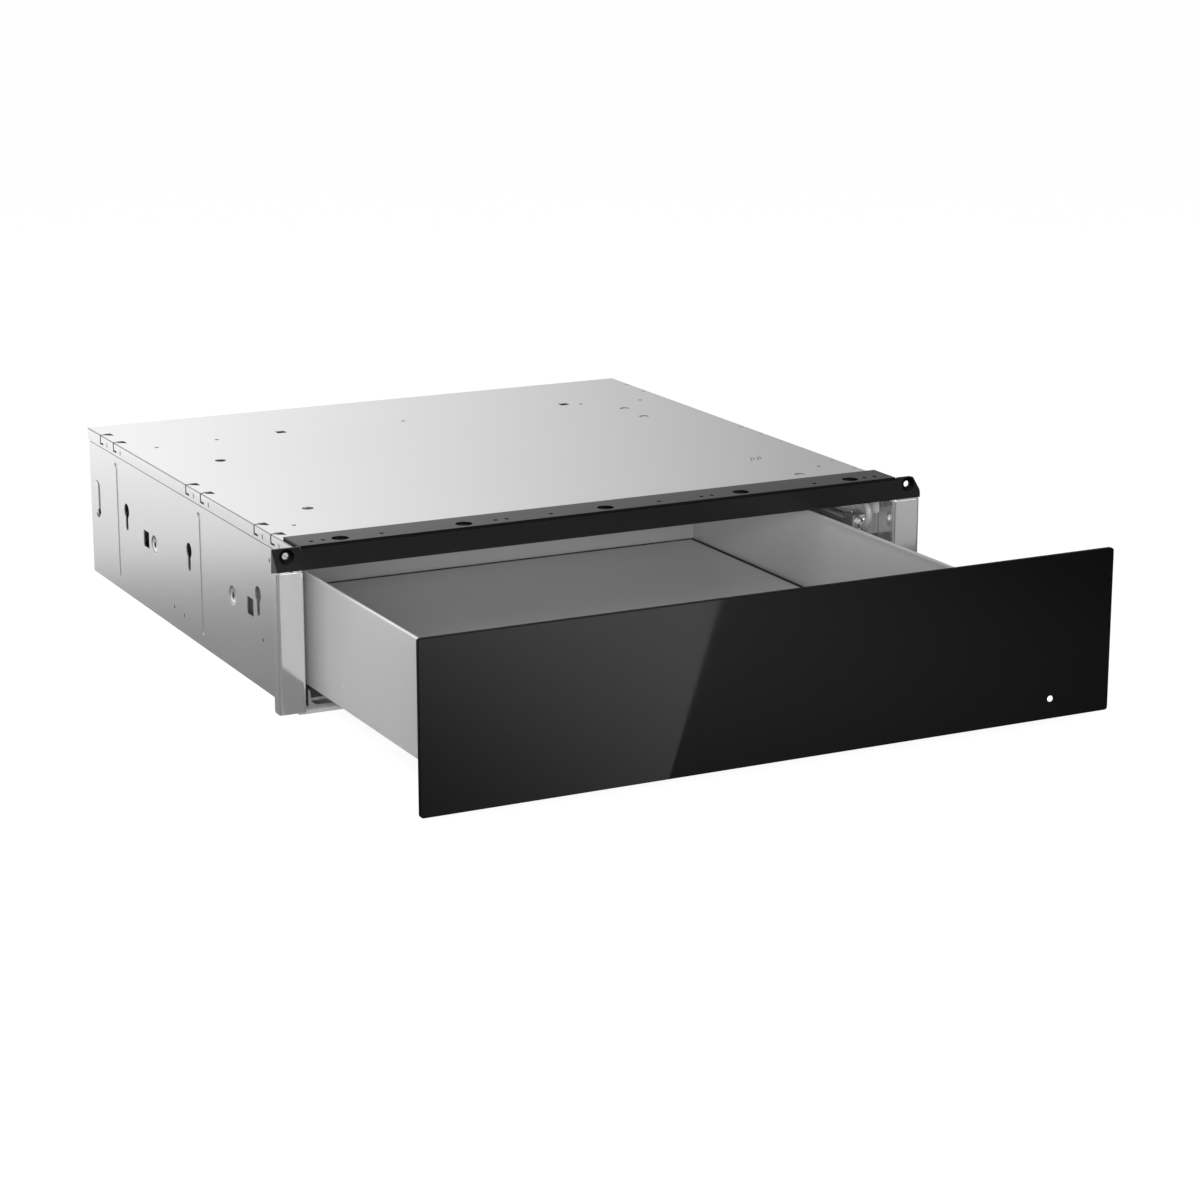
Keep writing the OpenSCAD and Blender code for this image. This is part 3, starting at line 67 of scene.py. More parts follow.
camera_data = bpy.data.cameras.new("camera")
camera_data.lens = CAMERA_LENS
camera_data.sensor_width = CAMERA_SENSOR
camera_data.clip_start = 0.01
camera_data.clip_end = 100.0
camera = bpy.data.objects.new("camera", camera_data)
camera.location = CAMERA_PLACE
camera.rotation_euler = (math.radians(90.0 - CAMERA_TILT), 0.0, math.radians(-CAMERA_HEADING))
scene.collection.objects.link(camera)
scene.camera = camera


# Node trees

class Tree:
    """Short names for the shader nodes that the materials share."""

    def __init__(self, tree):
        self.tree = tree
        tree.nodes.clear()

    def node(self, kind, **values):
        made = self.tree.nodes.new(kind)
        for key, value in values.items():
            setattr(made, key, value)
        return made

    def put(self, socket, value):
        if isinstance(value, bpy.types.NodeSocket):
            self.tree.links.new(value, socket)
        else:
            socket.default_value = value

    def math(self, operation, a, b=0.0, c=0.0):
        made = self.node("ShaderNodeMath", operation=operation)
        for socket, value in zip(made.inputs, (a, b, c)):
            self.put(socket, value)
        return made.outputs[0]

    def rest(self, share):
        return self.math("SUBTRACT", 1.0, share)

    def lerp(self, share, a, b):
        """a where share is 0, b where it is 1, for levels that are themselves nodes"""
        return self.math("ADD", self.math("MULTIPLY", self.rest(share), a), self.math("MULTIPLY", share, b))

    def share(self, value, low, high):
        """0 at low, 1 at high, smooth between"""
        made = self.node("ShaderNodeMapRange", interpolation_type="SMOOTHSTEP")
        self.put(made.inputs["Value"], value)
        self.put(made.inputs["From Min"], low)
        self.put(made.inputs["From Max"], high)
        return made.outputs["Result"]

    def between(self, value, low, high, start=0.0, end=1.0):
        """low where value is start, high where it is end, straight between"""
        made = self.node("ShaderNodeMapRange")
        self.put(made.inputs["Value"], value)
        for name, given in (("From Min", start), ("From Max", end), ("To Min", low), ("To Max", high)):
            self.put(made.inputs[name], given)
        return made.outputs["Result"]

    def steps(self, value, stops):
        """A level that goes through the stops, each a value and a level, straight between them"""
        first, last = stops[0][0], stops[-1][0]
        ramp = self.node("ShaderNodeValToRGB")
        reach = max(level for _, level in stops)
        while len(ramp.color_ramp.elements) < len(stops):
            ramp.color_ramp.elements.new(0.5)
        for element, (at, level) in zip(ramp.color_ramp.elements, stops):
            element.position = (at - first) / (last - first)
            element.color = grey(level / reach)
        self.put(ramp.inputs[0], self.between(value, 0.0, 1.0, first, last))
        return self.math("MULTIPLY", ramp.outputs["Color"], reach)

    def mix(self, share, a, b):
        made = self.node("ShaderNodeMix", data_type="RGBA")
        self.put(made.inputs["Factor"], share)
        self.put(made.inputs[6], a)
        self.put(made.inputs[7], b)
        return made.outputs[2]

    def blend(self, share, a, b):
        """a where share is 0, b where it is 1"""
        made = self.node("ShaderNodeMixShader")
        self.put(made.inputs[0], share)
        self.put(made.inputs[1], a)
        self.put(made.inputs[2], b)
        return made.outputs[0]

    def place(self, stretch=(1.0, 1.0, 1.0)):
        made = self.node("ShaderNodeMapping")
        self.put(made.inputs["Vector"], self.node("ShaderNodeTexCoord").outputs["Object"])
        made.inputs["Scale"].default_value = stretch
        return made.outputs["Vector"]

    def noise(self, scale, detail, stretch=(1.0, 1.0, 1.0)):
        made = self.node("ShaderNodeTexNoise")
        self.put(made.inputs["Vector"], self.place(stretch))
        made.inputs["Scale"].default_value = scale
        made.inputs["Detail"].default_value = detail
        return made.outputs["Fac"]

    def light(self, kind, strength):
        made = self.node("ShaderNode" + kind)
        self.put(made.inputs["Strength"], strength)
        return made.outputs[0]

    def finish(self, kind, surface):
        self.put(self.node("ShaderNodeOutput" + kind).inputs["Surface"], surface)

    def cells(self, scale):
        made = self.node("ShaderNodeTexVoronoi")
        self.put(made.inputs["Vector"], self.place())
        made.inputs["Scale"].default_value = scale
        split = self.node("ShaderNodeSeparateColor")
        self.put(split.inputs[0], made.outputs["Color"])
        return split.outputs[0]


def even(level):
    return (level, level, level)


def grey(level):
    return (*even(level), 1.0)


def tinted(colour, factor):
    return [c * factor for c in colour] + [1.0]


LOOKS = {}


def new_material(name):
    LOOKS[name] = bpy.data.materials.new(name)
    LOOKS[name].use_nodes = True
    return Tree(LOOKS[name].node_tree)


def finish_material(tree, colour, rough, bump=None, depth=0.0, **constants):
    shader = tree.node("ShaderNodeBsdfPrincipled")
    tree.put(shader.inputs["Base Color"], colour)
    tree.put(shader.inputs["Roughness"], rough)
    for key, value in constants.items():
        shader.inputs[key.replace("_", " ")].default_value = value
    if bump is not None:
        made = tree.node("ShaderNodeBump")
        made.inputs["Distance"].default_value = depth
        tree.put(made.inputs["Height"], bump)
        tree.put(shader.inputs["Normal"], made.outputs["Normal"])
    tree.finish("Material", shader.outputs[0])


# Patterns: cells and noise by their scale, and the stretches that turn grain into marks along Y or X
CRYSTALS, ZINC_CLOUDS, ROLL_MARKS = 160.0, 7.0, 500.0
METAL_CLOUDS, METAL_GRAIN = 9.0, 1400.0
PLASTIC_CLOUDS = 25.0
ROLLED = (1.0, 0.02, 1.0)
ACROSS = (0.03, 1.0, 1.0)
ALONG = (1.0, 0.03, 1.0)
ROLL_DEPTH = 0.0001 * MM


def zinc(name, colour, rough, metal):
    """Galvanised sheet: faint crystals in tone and gloss, fine rolling marks along its depth"""
    tree = new_material(name)
    crystals = tree.cells(CRYSTALS)
    cloud = tree.noise(ZINC_CLOUDS, 4.0)
    rolled = tree.noise(ROLL_MARKS, 2.0, ROLLED)
    tone = tree.math("ADD", tree.math("MULTIPLY", crystals, 0.25), tree.math("MULTIPLY", cloud, 0.75))
    colours = tree.mix(tone, tinted(colour, 0.98), tinted(colour, 1.02))
    marks = tree.math("ADD", tree.math("MULTIPLY", crystals, 0.2), tree.math("MULTIPLY", rolled, 0.8))
    roughs = tree.between(marks, rough - 0.01, rough + 0.015)
    finish_material(tree, colours, roughs, rolled, ROLL_DEPTH, Metallic=metal)


def sheet_metal(name, colour, rough, metal=1.0, spread=0.03, grain=(1.0, 1.0, 1.0), tint=0.02,
                depth=0.002 * MM):
    """Rolled or brushed metal: faint cloudy colour, fine grain in the roughness and the bump"""
    tree = new_material(name)
    cloud = tree.noise(METAL_CLOUDS, 4.0)
    fine = tree.noise(METAL_GRAIN, 2.0, grain)
    colours = tree.mix(cloud, tinted(colour, 1.0 - tint), tinted(colour, 1.0 + tint))
    both = tree.math("ADD", tree.math("MULTIPLY", cloud, 0.5), tree.math("MULTIPLY", fine, 0.5))
    roughs = tree.between(both, rough - spread, rough + spread)
    finish_material(tree, colours, roughs, fine, depth, Metallic=metal)


def moulded(name, colour, rough, grain=900.0, depth=0.04 * MM, **constants):
    """Plastic, rubber or powder coat: fine stipple and a faint change of tone"""
    tree = new_material(name)
    cloud = tree.noise(PLASTIC_CLOUDS, 3.0)
    fine = tree.noise(grain, 2.0)
    colours = tree.mix(cloud, tinted(colour, 0.9), tinted(colour, 1.1))
    finish_material(tree, colours, tree.between(fine, rough - 0.05, rough + 0.05), fine, depth, **constants)


COAT_GRAIN = 1600.0

zinc("galvanised_steel", even(0.94), 0.10, 0.89)
# Painted light: a more diffuse copy of the zinc for the inner faces, so the shaded inside of the case reads
# brighter
zinc("zinc_inner_painted_light", even(0.90), 0.22, 0.28)
# Painted shade: a darker copy of the zinc for the faces of bends and pressed marks
zinc("zinc_crease_painted_shade", even(0.44), 0.30, 0.80)
# Painted highlight: a brighter copy of the drawer steel for the upward faces of the left wall's rim
sheet_metal("rim_painted_highlight", even(0.93), 0.25, 0.50)
# Painted shade: a deeper, duller black for the top strip's front bend and the front slopes of its ear
# dimples
moulded("black_painted_shade", even(0.001), 0.5, COAT_GRAIN, 0.01 * MM, Specular_IOR_Level=0.1)
# A lighter black: painted sheen on the left ear's facet that faces left, and painted shade on the hems
# under the cover's band
moulded("black_painted_sheen_and_shade", (0.055, 0.055, 0.056), 0.35, COAT_GRAIN, 0.02 * MM)
moulded("black_steel", (0.0045, 0.0045, 0.0048), 0.30, COAT_GRAIN, 0.01 * MM)
sheet_metal("fastener_steel", (0.74, 0.74, 0.75), 0.24)
sheet_metal("rail_steel", (0.74, 0.74, 0.75), 0.22, 0.7, grain=ALONG)
sheet_metal("ball_steel", (0.80, 0.80, 0.81), 0.12)
sheet_metal("drawer_steel", even(0.575), 0.27, 0.45, 0.01, ALONG, 0.012, 0.0002 * MM)
sheet_metal("plate_steel", even(0.58), 0.36, 0.20, 0.02, ACROSS, 0.015, 0.0004 * MM)
sheet_metal("front_steel", (0.72, 0.72, 0.73), 0.28)
sheet_metal("heater_metal", (0.40, 0.38, 0.37), 0.40)
moulded("black_glass", (0.0012, 0.0012, 0.0013), 0.055, 60.0, 0.0, IOR=1.6)
moulded("glass_edge", even(0.001), 0.5, 400.0, 0.02 * MM, Specular_IOR_Level=0.08)
moulded("dark_rubber", even(0.012), 0.62)
moulded("mat_fibre", (0.66, 0.60, 0.38), 0.90, 300.0, 0.4 * MM)
moulded("dark_plastic", (0.022, 0.022, 0.024), 0.42)
moulded("light_plastic", (0.80, 0.80, 0.78), 0.38)
sheet_metal("conduit_metal", (0.93, 0.93, 0.94), 0.09, 0.95, 0.02)
sheet_metal("braid", even(0.50), 0.45, 0.5, depth=0.02 * MM)
moulded("lead_rubber", (0.30, 0.05, 0.04), 0.50)
moulded("board_green", (0.015, 0.11, 0.045), 0.42)

SLOT_OF = {part["node"]: part["material_slot"] for part in frame["record"]["subparts"]}


def dress(piece, look):
    rims = [face.material_index for face in piece.data.polygons]
    piece.data.materials.clear()
    piece.data.materials.append(LOOKS[look])
    piece.data.polygons.foreach_set("material_index", rims)


def soften(piece, width, segments=2, angle=40.0):
    bevel = piece.modifiers.new("edges", "BEVEL")
    bevel.width = width
    bevel.segments = segments
    bevel.limit_method = "ANGLE"
    bevel.angle_limit = math.radians(angle)
    bevel.use_clamp_overlap = False
    bevel.harden_normals = True
    return bevel


# Flat outlines

def arc(centre, radius, start, end, count):
    """Points of an arc, angles in degrees"""
    x, y = centre
    angles = [math.radians(start + (end - start) * k / count) for k in range(count + 1)]
    return [(x + radius * math.cos(a), y + radius * math.sin(a)) for a in angles]


def ring(x, y, radius, count=24):
    return arc((x, y), radius, 0.0, 360.0, count)[:-1]


def box_loop(x0, y0, x1, y1, radius=0.0, count=5):
    if radius == 0.0:
        return [(x0, y0), (x1, y0), (x1, y1), (x0, y1)]
    corners = ((x1 - radius, y0 + radius, -90.0), (x1 - radius, y1 - radius, 0.0),
               (x0 + radius, y1 - radius, 90.0), (x0 + radius, y0 + radius, 180.0))
    return [p for x, y, start in corners for p in arc((x, y), radius, start, start + 90.0, count)]


def square(x, y, half):
    return box_loop(x - half, y - half, x + half, y + half)


def ribbon(path, half, count=8):
    """The outline round a line, a half width away from it, with round ends"""
    if len(path) == 1:
        return ring(*path[0], half, 2 * count)
    way = [math.degrees(math.atan2(b[1] - a[1], b[0] - a[0])) for a, b in zip(path, path[1:])]
    turn = [way[0]] + [(a + b) / 2 for a, b in zip(way, way[1:])] + [way[-1]]
    left = [arc(p, half, t + 90.0, t + 90.0, 1)[0] for p, t in zip(path[1:-1], turn[1:-1])]
    right = [arc(p, half, t - 90.0, t - 90.0, 1)[0] for p, t in zip(path[1:-1], turn[1:-1])]
    return right + arc(path[-1], half, way[-1] - 90.0, way[-1] + 90.0, count) + left[::-1] \
        + arc(path[0], half, way[0] + 90.0, way[0] + 270.0, count)


def inside(point, loop):
    x, y = point
    found = False
    for (x0, y0), (x1, y1) in zip(loop, loop[1:] + loop[:1]):
        if (y0 > y) != (y1 > y) and x < x0 + (y - y0) / (y1 - y0) * (x1 - x0):
            found = not found
    return found


def gap_to(point, path):
    """Distance from a point to a line of points"""
    p = Vector(point)
    if len(path) == 1:
        return (p - Vector(path[0])).length
    best = None
    for a, b in zip(path, path[1:]):
        a, b = Vector(a), Vector(b)
        t = max(0.0, min(1.0, (p - a).dot(b - a) / (b - a).length_squared))
        gap = (p - a - t * (b - a)).length
        best = gap if best is None else min(best, gap)
    return best


class Fold:
    """Straight runs with round bends between them: a distance along the sheet gives a place.

    lines holds where the crease lines of the bends lie, STEPS + 1 a bend from its start to its end."""
    STEPS = 4

    def __init__(self, corners, radius):
        corners = [Vector(c) for c in corners]
        self.parts, self.lines, self.starts = [], [], []
        s, cut = 0.0, 0.0
        for k in range(len(corners) - 1):
            here, there = corners[k], corners[k + 1]
            way = (there - here).normalized()
            self.starts.append(s - cut)
            next_cut = 0.0
            if k < len(corners) - 2:
                turn = way.angle_signed((corners[k + 2] - there).normalized())
                next_cut = radius * math.tan(abs(turn) / 2)
            run = (there - here).length - cut - next_cut
            self.parts.append((s, s + run, here + way * cut, way, 0.0))
            s += run
            if next_cut:
                bend = radius * abs(turn)
                self.parts.append((s, s + bend, there - way * next_cut, way, turn))
                self.lines += [s + bend * i / self.STEPS for i in range(self.STEPS + 1)]
                s += bend
            cut = next_cut
        self.length = s
        self.radius = radius

    def at(self, s):
        for start, end, origin, way, turn in self.parts:
            if s <= end or end == self.length:
                break
        if turn == 0.0:
            return origin + way * (s - start)
        side = Vector((way.y, -way.x)) * (1 if turn > 0 else -1)
        angle = turn * (s - start) / (end - start)
        spoke = -side * self.radius
        c, d = math.cos(-angle), math.sin(-angle)
        return origin + side * self.radius + Vector((spoke.x * c - spoke.y * d, spoke.x * d + spoke.y * c))

    def on(self, run, distance):
        """How far along the sheet a place is that lies a distance past the sharp corner of a run"""
        return self.starts[run] + distance


# Pieces

SHARP_ANGLE = 32.0


def new_piece(name, points, faces, sharp=SHARP_ANGLE):
    mesh = bpy.data.meshes.new(name)
    mesh.from_pydata(points, [], faces)
    mesh.validate()
    mesh.shade_smooth()
    mesh.set_sharp_from_angle(angle=math.radians(sharp))
    piece = bpy.data.objects.new(name, mesh)
    scene.collection.objects.link(piece)
    return piece


STRAIGHT = 0.985
FACING = 0.3


def leaning(face):
    """Whether a face stands at a slant, as in a bend or a pressed mark"""
    return max(abs(part) for part in face.normal) < STRAIGHT


def settle(piece, body, slot, *nodes, look=None, inner=None, edges=()):
    """Looks, hidden nodes and body of a new piece, with the slot as its look where no look is given; each
    edge is a look and a test for its faces
    """
    dress(piece, look or slot)
    if inner:
        piece.data.materials.append(LOOKS[inner])
    for edge_look, chosen in edges:
        piece.data.materials.append(LOOKS[edge_look])
        for face in piece.data.polygons:
            if face.material_index == 0 and chosen(face):
                face.material_index = len(piece.data.materials) - 1
    if nodes:
        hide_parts(*nodes)
    if body:
        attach(piece, body)


# How far past a mark the flat is kept even
GUARD = 0.4 * MM


def settle_mesh(piece):
    """Turn the modifiers into mesh, with sharp edges at the folds and even flats"""
    scene_now = bpy.context.evaluated_depsgraph_get()
    made = bpy.data.meshes.new_from_object(piece.evaluated_get(scene_now))
    piece.modifiers.clear()
    piece.data = made
    made.shade_smooth()
    made.set_sharp_from_angle(angle=math.radians(SHARP_ANGLE))
    flats = piece.modifiers.new("flats", "WEIGHTED_NORMAL")
    flats.keep_sharp = True


def sheet(name, outline, place, thickness, holes=(), lines=(), marks=(), flip=False, rim_slot=0,
          inner_slot=0, guards=()):
    """Sheet metal cut from a flat outline with holes, pressed at its marks and bent along its lines.

    A mark is a path, the half width of its floor, its half width in all and its depth. place gives
    the point in space of a flat point and its depth. Guards are loops that keep the flats even."""
    loops = [outline] + list(holes) + list(guards)
    for path, floor_half, full_half, _ in marks:
        halves = (floor_half, (floor_half + full_half) / 2, full_half, full_half + GUARD)
        loops += [ribbon(path, half) for half in halves]
    points, edges = [], []
    for loop in loops:
        first = len(points)
        points += loop
        edges += [(first + k, first + (k + 1) % len(loop)) for k in range(len(loop))]
    for line in lines:
        edges.append((len(points), len(points) + 1))
        points += line
    flat, _, faces = delaunay_2d_cdt([Vector(p) for p in points], edges, [], 0, 1e-7)[:3]
    spans = []
    for hole in holes:
        across, along = zip(*hole)
        spans.append((min(across), max(across), min(along), max(along)))
    kept = []
    for face in faces:
        x, y = sum((flat[k] for k in face), Vector((0.0, 0.0))) / 3
        near = [h for h, (x0, x1, y0, y1) in zip(holes, spans) if x0 < x < x1 and y0 < y < y1]
        if inside((x, y), outline) and not any(inside((x, y), h) for h in near):
            kept.append(face[::-1] if flip else face)
    used = sorted({k for face in kept for k in face})
    index = {k: i for i, k in enumerate(used)}

    def depth(point):
        total = 0.0
        for path, floor_half, full_half, deep in marks:
            gap = gap_to(point, path)
            if gap < full_half:
                t = min(1.0, (full_half - gap) / (full_half - floor_half))
                total += deep * t * t * (3.0 - 2.0 * t)
        return total

    points = [place(flat[k], depth(flat[k])) for k in used]
    piece = new_piece(name, points, [[index[k] for k in face] for face in kept])
    solid = piece.modifiers.new("thickness", "SOLIDIFY")
    solid.thickness = thickness
    solid.offset = -1.0
    solid.material_offset_rim = rim_slot
    solid.material_offset = inner_slot
    piece.data.materials.append(None)
    piece.data.materials.append(None)
    settle_mesh(piece)
    return piece


def tube(name, centres, radii, sides=20):
    """A round tube along a line of centres, with a radius at each"""
    points, faces = [], []
    previous = None
    for k, centre in enumerate(centres):
        ahead = Vector(centres[min(k + 1, len(centres) - 1)]) - Vector(centres[max(k - 1, 0)])
        ahead.normalize()
        if previous is None:
            previous = ahead.orthogonal().normalized()
        across = (previous - ahead * previous.dot(ahead)).normalized()
        previous = across
        up = ahead.cross(across)
        for i in range(sides):
            angle = 2.0 * math.pi * i / sides
            points.append(Vector(centre) + radii[k] * (math.cos(angle) * across + math.sin(angle) * up))
    for k in range(len(centres) - 1):
        for i in range(sides):
            j = (i + 1) % sides
            faces.append((k * sides + i, k * sides + j, (k + 1) * sides + j, (k + 1) * sides + i))
    faces.append(tuple(range(sides))[::-1])
    faces.append(tuple(range((len(centres) - 1) * sides, len(centres) * sides)))
    return new_piece(name, points, faces, 60.0)


def slab(name, low, high, edge):
    """A block with rounded edges"""
    corners = [(x, y, z) for x in (low[0], high[0]) for y in (low[1], high[1]) for z in (low[2], high[2])]
    faces = [(0, 1, 3, 2), (4, 6, 7, 5), (0, 4, 5, 1), (2, 3, 7, 6), (0, 2, 6, 4), (1, 5, 7, 3)]
    piece = new_piece(name, corners, faces)
    soften(piece, edge, 3)
    return piece


# Sizes that the new pieces take from the frame

post_low, post_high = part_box("front_post_right")
cover_low, cover_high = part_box("top_cover")
panel_low, panel_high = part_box("side_panel_right")
strip_low, strip_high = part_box("top_strip")
FRONT_Y = post_low.y
REAR_Y = cover_high.y
CASE_W = 2 * cover_high.x
CASE_D = REAR_Y - FRONT_Y
CASE_H = cover_high.z
SHEET = 1.0 * MM


def back_y(share):
    """Where a share of the case's depth lies, from its front"""
    return FRONT_Y + share * CASE_D


# Top cover

FOLD_R = 0.9 * MM
COVER_FLAP_IN = 9.0 * MM
SLIT_HALF = 1.5 * MM
SLIT_FOOT_HALF = 0.9 * MM
SLIT_DOWN = 5.0 * MM
SLIT_CURL = 2.4 * MM
SLIT_FOOT = 7.5 * MM
SLIT_WINDOW_IN = 3.8 * MM
SLIT_WINDOW_OUT = 10.8 * MM
SLIT_WINDOW_FRONT = 8.0 * MM
SLIT_WINDOW_REAR = 3.2 * MM
DASH_DROP = 6.2 * MM
DASH_L = 2.6 * MM
DASH_HALF = 1.0 * MM
slit_depth_shares = [0.9275, 0.8569, 0.4926, 0.4238, 0.1868, 0.1171]
dash_depth_shares = [0.8922, 0.8216, 0.4572, 0.3885, 0.1524, 0.0836]
small_hole_shares = [[-0.4485, 0.7862], [-0.3385, 0.8011], [0.0, 0.8048], [0.3385, 0.8011],
                     [0.4485, 0.7862], [-0.4485, 0.1561], [0.4485, 0.1561]]
square_hole_shares = [[-0.2205, 0.8126], [0.3105, 0.813]]
round_hole_shares = [[-0.3898, 0.6405], [-0.3898, 0.2515]]
dish_shares = [[0.3896, 0.7299], [0.3913, 0.1173], [0.3869, 0.6504]]
rivet_shares = [[0.3933, 0.2546], [0.3813, 0.2546]]
SMALL_HOLE_R = 2.0 * MM
SQUARE_HOLE_HALF = 4.5 * MM
ROUND_HOLE_R = 5.0 * MM
COVER_DISH_DEPTH = 0.5 * MM
RIVET_R = 2.6 * MM
RIVET_RISE = 0.6 * MM
MARK_FLOOR_SHARE = 0.55


def top_cover():
    low_z, x = cover_low.z, cover_high.x
    across = Fold([(-x, low_z), (-x, CASE_H), (x, CASE_H), (x, low_z)], FOLD_R)
    along = Fold([(cover_low.y, low_z), (cover_low.y, CASE_H), (REAR_Y, CASE_H), (REAR_Y, low_z)], FOLD_R)
    full_s, full_t = across.length, along.length
    front_t, rear_t = along.lines[0] + SHEET, along.lines[5]
    band, flat_in, flap_in = across.lines[0], across.lines[4], across.on(1, COVER_FLAP_IN)
    outline = [(0.0, front_t), (band, front_t), (flat_in, front_t), (flap_in, front_t), (flap_in, 0.0),
               (full_s - flap_in, 0.0), (full_s - flap_in, front_t), (full_s, front_t), (full_s, rear_t),
               (full_s - flat_in, rear_t), (full_s - flat_in, full_t), (flat_in, full_t),
               (flat_in, rear_t), (0.0, rear_t)]

    def spot(wide, deep):
        """The flat place at a share of the width from the middle and a share of the depth"""
        return (full_s / 2 + wide * CASE_W, along.on(1, back_y(deep) - cover_low.y))

    holes = []
    for side in (LEFT, RIGHT):
        def flat_s(inboard):
            return full_s / 2 + side * (x - inboard)

        def band_s(drop):
            return across.on(0, (CASE_H - low_z) - drop) if side == LEFT else across.on(2, drop)

        foot_s = band_s(SLIT_DOWN + SLIT_CURL)
        for share in slit_depth_shares:
            t = spot(0.0, share)[1]
            holes.append(ribbon([(flat_s(SLIT_WINDOW_IN + SHEET), t), (foot_s, t)], SLIT_HALF, 4))
            holes.append(ribbon([(foot_s, t), (foot_s, t - SLIT_FOOT)], SLIT_FOOT_HALF, 4))
            if side == LEFT:
                a, b = flat_s(SLIT_WINDOW_IN), flat_s(SLIT_WINDOW_OUT)
                holes.append([(a, t - SLIT_WINDOW_REAR), (a, t + SLIT_WINDOW_REAR),
                              (b, t + SLIT_WINDOW_REAR), (b, t - SLIT_WINDOW_FRONT)])
        for share in dash_depth_shares:
            t = spot(0.0, share)[1]
            ends = sorted((band_s(DASH_DROP - DASH_L / 2), band_s(DASH_DROP + DASH_L / 2)))
            holes.append(ribbon([(ends[0], t), (ends[1], t)], DASH_HALF, 4))
    for shares, radius in ((small_hole_shares, SMALL_HOLE_R), (round_hole_shares, ROUND_HOLE_R)):
        holes += [ring(*spot(*pair), radius) for pair in shares]
    holes += [square(*spot(*pair), SQUARE_HOLE_HALF) for pair in square_hole_shares]
    marks = []
    for shares, radius, depth in ((dish_shares, ROUND_HOLE_R, COVER_DISH_DEPTH),
                                  (rivet_shares, RIVET_R, -RIVET_RISE)):
        marks += [([spot(*pair)], radius * MARK_FLOOR_SHARE, radius, depth) for pair in shares]
    lines = [[(s, 0.0), (s, full_t)] for s in across.lines]
    lines += [[(0.0, t), (full_s, t)] for t in along.lines]

    def place(point, depth):
        side, end = across.at(point[0]), along.at(point[1])
        return (side.x, end.x, side.y + end.y - CASE_H - depth)

    piece = sheet("top_cover_sheet", outline, place, SHEET, holes, lines, marks, inner_slot=1)
    # The inner faces get the more diffuse zinc as painted light
    settle(piece, "case", "galvanised_steel", "top_cover", inner="zinc_inner_painted_light",
           # Bends and pressed marks get the darker zinc as painted shade
           edges=[("zinc_crease_painted_shade", leaning)])


top_cover()

SEAM_IN = 1.5 * MM
SEAM_DROP = 1.2 * MM
SEAM_W = 13.0 * MM
SEAM_LOW = 2.0 * MM
SEAM_R = 1.0 * MM
SEAM_T = 0.5 * MM
SEAM_FRONT = 4.0 * MM
SEAM_REAR = 3.0 * MM


def seam(side, name):
    """The hem under the cover's band, black as painted shade, which shows dark in its slits"""
    x, top = cover_high.x - SHEET - SEAM_IN, CASE_H - SHEET - SEAM_DROP
    path = Fold([(x, cover_low.z - SEAM_LOW), (x, top), (x - SEAM_W, top)], SEAM_R)
    ends = (FRONT_Y + SEAM_FRONT, REAR_Y - SEAM_REAR)
    outline = [(0.0, ends[0]), (path.length, ends[0]), (path.length, ends[1]), (0.0, ends[1])]

    def place(point, depth):
        spot = path.at(point[0])
        return (side * spot.x, point[1], spot.y)

    lines = [[(s, ends[0]), (s, ends[1])] for s in path.lines]
    piece = sheet(name, outline, place, SEAM_T, (), lines, (), side == RIGHT)
    # The zinc hem is given a black look as painted shade
    settle(piece, "case", "galvanised_steel", look="black_painted_sheen_and_shade")


seam(LEFT, "seam_left")
seam(RIGHT, "seam_right")


# Side panels

keyhole_depth_shares = [0.8043, 0.4931, 0.1833]
KEYHOLE_SHARE = 0.5766
KEYHOLE_TAIL_SHARE = 0.4438
KEYHOLE_HEAD_R = 6.8 * MM
KEYHOLE_TAIL_HALF = 3.4 * MM
window_depth_shares = [0.7045, 0.2184]
WINDOW_SHARE = 0.4701
WINDOW_HALF = 7.4 * MM
dish_depth_shares = [0.6639, 0.2957]
DISH_SHARE = 0.4672
DISH_R = 8.2 * MM
DISH_FLOOR_R = 6.4 * MM
DISH_DEPTH = 0.6 * MM
DISH_HOLE_R = 2.9 * MM
rib_depth_shares = [0.8498, 0.4368]
RIB_LOW_SHARE = 0.0985
RIB_TOP_SHARE = 0.8467
RIB_HALF = 2.3 * MM
RIB_FLOOR_HALF = 0.7 * MM
RIB_DEPTH = 0.45 * MM
RIB_CURL = 4.0 * MM
dot_place_shares = [[0.5734, 0.1365], [0.526, 0.1241], [0.1307, 0.8299], [0.1667, 0.3095]]
DOT_R = 1.7 * MM
TAB_SHARE = 0.961
TAB_LOW_SHARE = 0.4526
TAB_TOP_SHARE = 0.6204
TAB_HALF = 6.4 * MM
TAB_FLOOR_HALF = 4.9 * MM
TAB_RISE = 0.9 * MM
TAB_HOLE_SHARE = 0.9517
TAB_HOLE_R = 3.0 * MM
FOOT_W = 12.0 * MM
FOOT_START = 12.0 * MM
FOOT_EDGE = 0.2 * MM
PANEL_UNDER_BAND = -1.3 * MM
PANEL_CUT_L = 9.6 * MM
PANEL_CUT_H = 6.5 * MM


